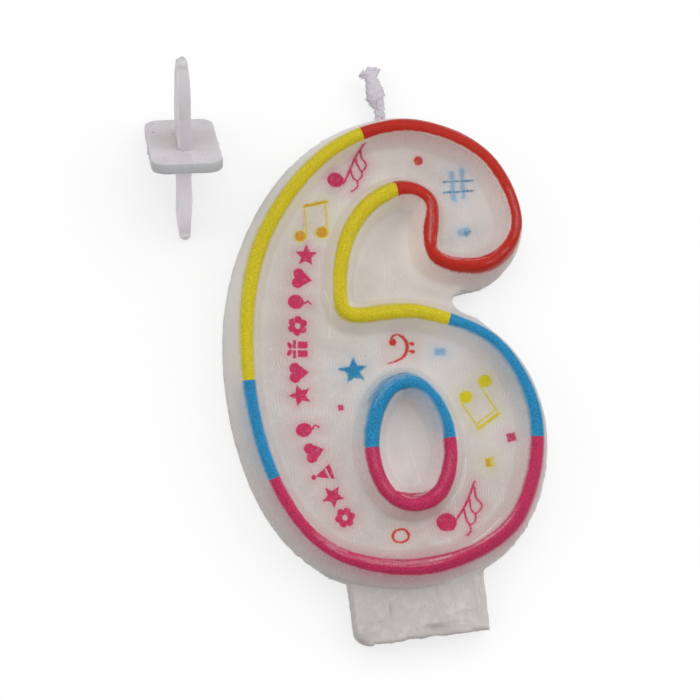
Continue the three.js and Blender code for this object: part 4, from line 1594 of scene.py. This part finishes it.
def stub_tube():
    """The wick's stub as one lumpy, slightly flat body."""
    rows = np.array(WICK_STUB)
    y = np.arange(rows[0, 0], rows[-1, 0] + 0.05, 0.1)[:, None]
    middle, half = np.interp(y, rows[:, 0], rows[:, 1]), np.interp(y, rows[:, 0], rows[:, 2])
    height = np.interp(y, *np.array(STUB_HEIGHTS).T)
    turn = np.linspace(0, math.tau, 36, endpoint=False)[None]
    twist = y * 1.9
    lay = np.abs(np.sin(1.5 * (turn - twist))) + np.abs(np.sin(1.5 * (turn + twist)))
    lumps = ripple(np.stack(np.broadcast_arrays(turn * 2, y / 0.5), -1), 1.0, 41)
    grow = 0.09 * (lay - 1.2) + 0.08 * lumps
    x = middle + (half + grow) * np.cos(turn)
    z = height + (half * WICK_FLATNESS + grow) * np.sin(turn)
    return np.stack(np.broadcast_arrays(x, y, z), -1).reshape(-1, 3), tube_faces(*x.shape)


def wick_hairs(skin, normals, rng):
    """Loose hairs that stand out of the stub's sides."""
    sides = np.flatnonzero((np.abs(normals[:, 2]) < 0.5) & (skin[:, 1] > HAIRS_FROM))
    steps = np.linspace(0, 1, 5)[:, None]
    hairs = []
    for root in rng.choice(sides, HAIR_COUNT, replace=False):
        way = normals[root] + rng.normal(size=3) * 0.5 + (0, 0.3, 0)
        way /= np.linalg.norm(way)
        long = rng.uniform(*HAIR_LENGTHS)
        path = skin[root] - way * 0.1 + way * (long + 0.1) * steps + np.array([0, 0, -0.12]) * steps**2
        hairs.append(tube(path, np.linspace(0.055, 0.02, 5), 5))
    return hairs


def wick():
    rng = np.random.default_rng(5)
    forms = [stub_tube()]
    for middle, radii in WICK_TUFTS:
        path = open_curve(middle, 0.12)
        thick = np.interp(np.linspace(0, 1, len(path)), np.linspace(0, 1, len(radii)), radii)
        forms.append(tube(path + 0.04 * rng.normal(size=path.shape), thick, 12))
    stub = remeshed("wick_stub", mesh_of("wick_forms", *joined(forms)), WICK_SKIN_STEP)
    skin = spots_of(stub)
    skin[:, 2] = np.maximum(skin[:, 2], 0.15)
    faces = [tuple(face.vertices) for face in stub.polygons]
    normals = np.array([tuple(vertex.normal) for vertex in stub.vertices])
    parts = [(skin, faces), tube(open_curve(WICK_CORE, 1.0), WICK_CORE_RADIUS, 16)]
    mesh = mesh_of("wick_cord", *joined(parts + wick_hairs(skin, normals, rng)))
    final = spots_of(mesh)
    coat = Coat(np.tile(linear(COTTON_FLECK), (len(final), 1)), np.zeros(len(final)))
    for line, half in WICK_THREADS:
        near = print_edge(curved(final[:, :2], line, half), 0.06) * (final[:, 2] > 2.2)
        coat.lay(linear(COTTON_FLECK), 0.8 * near)
    paint(mesh, print=coat.values())
    return new_piece(mesh, "candle", cotton_material(), ["wick"])


# Holder: a plate with a blade for the foot's slot on one side and a spike for the cake on the other
PLATE_WIDTH = 11.0
PLATE_LENGTH = 21.0
PLATE_THICKNESS = 1.2
PLATE_FACES = (-1.0, 0.7)
PLATE_ENDS = (-10.24, 9.7)
PLATE_CORNER = 2.4
PLATE_ROUNDING = 0.25
BLADE_REACH = 14.2
SPIKE_REACH = 15.7
BLADE_WIDTH = 8.4
BLADE_THICKNESS = 2.05
BLADE_TIP = 1.3
HOLDER_PLACE = (-29.2, 34.4)
HOLDER_ROLL = math.radians(1.5)
HOLDER_TURN = math.radians(-3.7)
HOLDER_SHARP_ANGLE = math.radians(40)

# Specks on the holder: place across, along the blade, up the plate, and radius
HOLDER_SPECKS = [
    (-4.3, 0.7, -4.6, 0.22), (-1.4, 0.7, -3.4, 0.17), (-1.05, 1.0, 1.9, 0.22), (-0.3, 0.7, 4.6, 0.14),
    (-3.5, 0.7, 7.2, 0.12), (0.4, -6.0, 3.6, 0.16), (-0.5, -9.5, 3.2, 0.12), (2.8, 0.7, 8.2, 0.1),
    (-4.2, 0.7, -8.6, 0.12),
]
PARTING_LINE = [(0.35, 4.3), (0.7, 5.2), (0.9, 6.6), (1.0, 8.4), (1.15, 9.8)]


def rounded_ring(half_wide, half_tall, corner, steps, wide_steps, tall_steps):
    """Points of a rounded rectangle, anticlockwise."""
    corners = []
    for k, (x, y) in enumerate([(1, 1), (-1, 1), (-1, -1), (1, -1)]):
        turn = math.pi / 2 * (k + np.linspace(0, 1, steps))
        centre = np.array([x * (half_wide - corner), y * (half_tall - corner)])
        corners.append(centre + corner * np.stack([np.cos(turn), np.sin(turn)], -1))
    ring = []
    for k in range(4):
        count = tall_steps if k % 2 else wide_steps
        share = np.linspace(0, 1, count + 2)[1:-1, None]
        ring += [corners[k], corners[k][-1] * (1 - share) + corners[(k + 1) % 4][0] * share]
    return np.vstack(ring)


def upright(ring, y):
    """Points given across and up, set at a place along the blade."""
    return np.column_stack([ring[:, 0], np.broadcast_to(y, len(ring)), ring[:, 1]])


def blade_half(along, reach):
    """Half the blade's width at a distance from the plate's middle."""
    share = np.linspace(0, 1, 80)
    half = BLADE_WIDTH / 2 * ((1 - share) ** 2 + 2 * share * (1 - share)) + BLADE_TIP * share**2
    at = 2 * 0.7 * reach * share * (1 - share) + (reach - BLADE_TIP) * share**2
    tip = np.sqrt(np.clip(BLADE_TIP**2 - (along - reach + BLADE_TIP) ** 2, 0, None))
    return np.where(along < reach - BLADE_TIP, np.interp(along, at, half), tip)


def blade(reach, side, waviness, seed):
    """A blade or spike that stands on the plate, with worn edges and a nub at its tip."""
    tip = reach - BLADE_TIP + BLADE_TIP * np.sin(np.linspace(0, 1.45, 9))
    rings = []
    for y in np.concatenate([np.arange(0, reach - BLADE_TIP - 0.1, 0.3), tip]):
        half = float(blade_half(y, reach))
        end = math.sqrt(max(0.0, 1 - (max(0.0, y - reach + 0.9) / 0.95) ** 2))
        thinner = 1 - 0.16 * float(smoothstep(y, reach - 3.5, reach))
        thick = BLADE_THICKNESS / 2 * thinner * (0.4 + 0.6 * end)
        ring = rounded_ring(thick, half, min(0.3, 0.8 * thick, 0.8 * half), 4, 4, 14)
        shift = waviness * math.sin(y * 0.75 + seed) * float(smoothstep(y, 1, 5))
        round_and_up = np.column_stack([np.arange(len(ring)) * 0.3, np.full(len(ring), y)])
        worn = 0.035 * ripple(round_and_up, 0.7, 50 + seed)
        ring = ring * (1 + worn[:, None] / (np.hypot(*ring.T)[:, None] + 0.5))
        rings.append(upright(ring + (shift, 0), side * y))
    last = rings[-1]
    middle = last.mean(axis=0)
    for share, further in ((0.7, 0.1), (0.45, 0.28)):
        rings.append((last - middle) * share + middle + (0.05, side * further, 0))
    faces = tube_faces(len(rings), len(last))
    return np.vstack(rings), [face[::-1] for face in faces] if side > 0 else faces


def plate_outline():
    """The edge of the plate, not quite straight and with a small nub, and its ways out."""
    low, high = PLATE_ENDS
    base = rounded_ring(PLATE_WIDTH / 2, (high - low) / 2, PLATE_CORNER, 10, 40, 70) + (0, (high + low) / 2)
    normals = -Loop.normals(base)
    base = base + normals * rippled(0, base, PLATE_RIPPLES)[:, None]
    nub = bell(np.hypot(*(base - (-PLATE_WIDTH / 2, 1.0)).T) / 0.3)
    return base + normals * 0.14 * nub[:, None], normals


def plate():
    """The holder's plate: a slab with rounded edges."""
    base, normals = plate_outline()
    back, front = PLATE_FACES
    corners = base.min(axis=0), base.max(axis=0)
    fine = hex_grid(*corners, PLATE_INK_STEP)
    specks = [disc(fine, (x, z), radius) for x, _, z, radius in HOLDER_SPECKS]
    fine = fine[np.minimum.reduce([*specks, curved(fine, PARTING_LINE, 0.1)]) < PLATE_INK_MARGIN]
    grid = np.vstack([hex_grid(*corners, PLATE_STEP), fine])
    grid = grid[inside_polygon(grid, base - normals * 0.45)]
    count = len(base)
    flat, faces, ring = triangulated(np.vstack([base - normals * PLATE_ROUNDING, grid]), count)
    sag = 0.05 * ripple(flat, 3.2, 63)
    ridge = 0.08 * print_edge(curved(flat, PARTING_LINE, 0.05), 0.15)
    steps = [(0.07, front - 0.07), (0.0, front - PLATE_ROUNDING)]
    steps += [(0.0, back + PLATE_ROUNDING), (0.07, back + 0.07)]
    rows = [upright(flat, front + sag + ridge), upright(flat, back + sag)]
    rows += [upright(base - normals * inset, y) for inset, y in steps]
    sides = [2 * len(flat) + k * count + np.arange(count) for k in range(4)]
    whole = [face[::-1] for face in faces] + [tuple(k + len(flat) for k in face) for face in faces]
    return np.vstack(rows), whole + walls([ring, *sides, len(flat) + ring])


def holder_values(spots):
    """Colour and cover of what is painted on the holder: tones, painted light on the spike and on the
    blade's side, specks and the parting line.
    """
    x, y, z = spots.T
    back, front = PLATE_FACES
    on_plate = (y > back - 0.1) & (y < front + 0.15)
    middle = 0.55 * on_plate * bell(x / 3.8, (z + 1) / 5)
    coat = Coat(np.tile(linear(PLATE_MIDDLE), (len(spots), 1)), middle)
    on_edge = (y > back + 0.05) & (y < front - 0.05) & (z > PLATE_ENDS[1] - 2)
    coat.lay(linear(PLATE_EDGE), 0.7 * on_edge)
    # Painted light on the spike, which the plate shades
    coat.lay(linear(SPIKE_PAINTED_LIGHT), 0.9 * smoothstep(-y, 1.0, 2.5))
    # Painted light on the blade's left side face
    coat.lay(linear(BLADE_SIDE_PAINTED_LIGHT), 0.7 * ((x < -0.8) & (y > front + 0.2)))
    for *speck, radius in HOLDER_SPECKS:
        away = np.linalg.norm(spots - speck, axis=1) - radius
        coat.lay(linear(HOLDER_SPECK), 0.9 * print_edge(away, 0.08))
    line = curved(spots[:, [0, 2]], PARTING_LINE, (0.05, 0.1, 0.1))
    coat.lay(linear(PARTING), 0.5 * print_edge(line, 0.12) * (y > -0.8) * on_plate)
    return coat.values()


def holder():
    """The loose holder, laid on the table on its plate's edge and its spike's tip."""
    forms = [plate(), blade(BLADE_REACH, 1, 0.03, 1), blade(SPIKE_REACH, -1, 0.08, 2)]
    names = ("holder_plate", "holder_blade", "holder_spike")
    meshes = [mesh_of(name, *form) for name, form in zip(names, forms)]
    mesh = carved("candle_holder", meshes[0], meshes[1:], "UNION")
    paint(mesh, print=holder_values(spots_of(mesh)))
    to_tip, to_edge = SPIKE_REACH - PLATE_THICKNESS / 2 - BLADE_TIP, PLATE_LENGTH / 2
    tilt = math.acos(BLADE_TIP / math.hypot(to_tip, to_edge)) - math.atan2(to_tip, to_edge)
    lift = to_edge * math.cos(tilt) + PLATE_THICKNESS / 2 * math.sin(tilt)
    turn = Matrix.Rotation(HOLDER_TURN, 4, "Z") @ Matrix.Translation((0, 0, lift * MM))
    place = Matrix.Translation((HOLDER_PLACE[0] * MM, HOLDER_PLACE[1] * MM, 0))
    mesh.transform(place @ turn @ Matrix.Rotation(tilt, 4, "X") @ Matrix.Rotation(HOLDER_ROLL, 4, "Y"))
    mesh.set_sharp_from_angle(angle=HOLDER_SHARP_ANGLE)
    return new_piece(mesh, "loose_holder", plastic_material(), ["holder"])


# Pieces

wax_body()
inks = print_materials()
for loop, bands in ((outline, RIM_BANDS), (counter, COUNTER_BANDS)):
    for band in bands:
        crest_band(*band, loop, inks[band[1]])
wick()
holder()


# Stage: floor, light and camera


def table_material():
    """White that lights the scene little, and glows a little where the camera sees it."""
    material = bpy.data.materials.new("white_table")
    material.use_nodes = True
    tree = material.node_tree
    tree.nodes.remove(tree.nodes["Principled BSDF"])
    unseen = node(tree, "BsdfDiffuse", {"Color": (*[TABLE_GREY] * 3, 1)})
    shaded = node(tree, "BsdfDiffuse", {"Color": (*[1 - TABLE_GLOW] * 3, 1)})
    glow = node(tree, "Emission", {"Strength": TABLE_GLOW})
    seen = node(tree, "AddShader", {0: shaded.outputs[0], 1: glow.outputs[0]})
    ray = node(tree, "LightPath", {}).outputs
    direct = arithmetic(tree, "MAXIMUM", ray["Is Camera Ray"], ray["Is Glossy Ray"])
    direct = arithmetic(tree, "MAXIMUM", direct, ray["Is Transmission Ray"])
    choice = node(tree, "MixShader", {0: direct, 1: unseen.outputs[0], 2: seen.outputs[0]})
    tree.links.new(choice.outputs[0], tree.nodes["Material Output"].inputs["Surface"])
    return material


def floor():
    corners = [(x * TABLE_HALF, y * TABLE_HALF, 0) for x, y in ((-1, -1), (1, -1), (1, 1), (-1, 1))]
    mesh = bpy.data.meshes.new("table_top")
    mesh.from_pydata(corners, [], [(0, 1, 2, 3)])
    mesh.materials.append(table_material())
    table = linked("table_top", mesh)
    table.location.z = -TABLE_DROP * MM


def world_light():
    world = bpy.data.worlds.new("plain_world")
    bpy.context.scene.world = world
    world.use_nodes = True
    background = world.node_tree.nodes["Background"]
    background.inputs["Color"].default_value = (1, 1, 1, 1)
    background.inputs["Strength"].default_value = WORLD_LIGHT


def lamp(name, towards, strength):
    """A soft sun that shines from the given way."""
    light = bpy.data.lights.new(name, "SUN")
    light.energy = strength
    light.angle = LAMP_ANGLE
    stand = linked(name, light)
    stand.rotation_euler = Vector(towards).to_track_quat("Z", "Y").to_euler()


def camera():
    lens = bpy.data.cameras.new("view")
    lens.lens = CAMERA_LENS
    lens.sensor_width = CAMERA_SENSOR
    lens.sensor_fit = "HORIZONTAL"
    lens.clip_start = 0.01
    lens.clip_end = 10
    eye = linked("view", lens)
    roll = Matrix.Rotation(-CAMERA_ROLL, 3, "Z")
    back = Vector((-math.tan(CAMERA_FROM_LEFT), -math.tan(CAMERA_FROM_BELOW), 1)).normalized()
    right = Vector((0, 1, 0)).cross(back).normalized()
    axes = Matrix([roll @ right, roll @ back.cross(right), roll @ back]).transposed()
    place = (Vector(CAMERA_TARGET) + (roll @ back) * CAMERA_DISTANCE) * MM
    eye.matrix_world = Matrix.Translation(place) @ axes.to_4x4()
    bpy.context.scene.camera = eye


floor()
world_light()
for sun in LAMPS:
    lamp(*sun)
camera()
bpy.context.scene.view_settings.view_transform = "Standard"
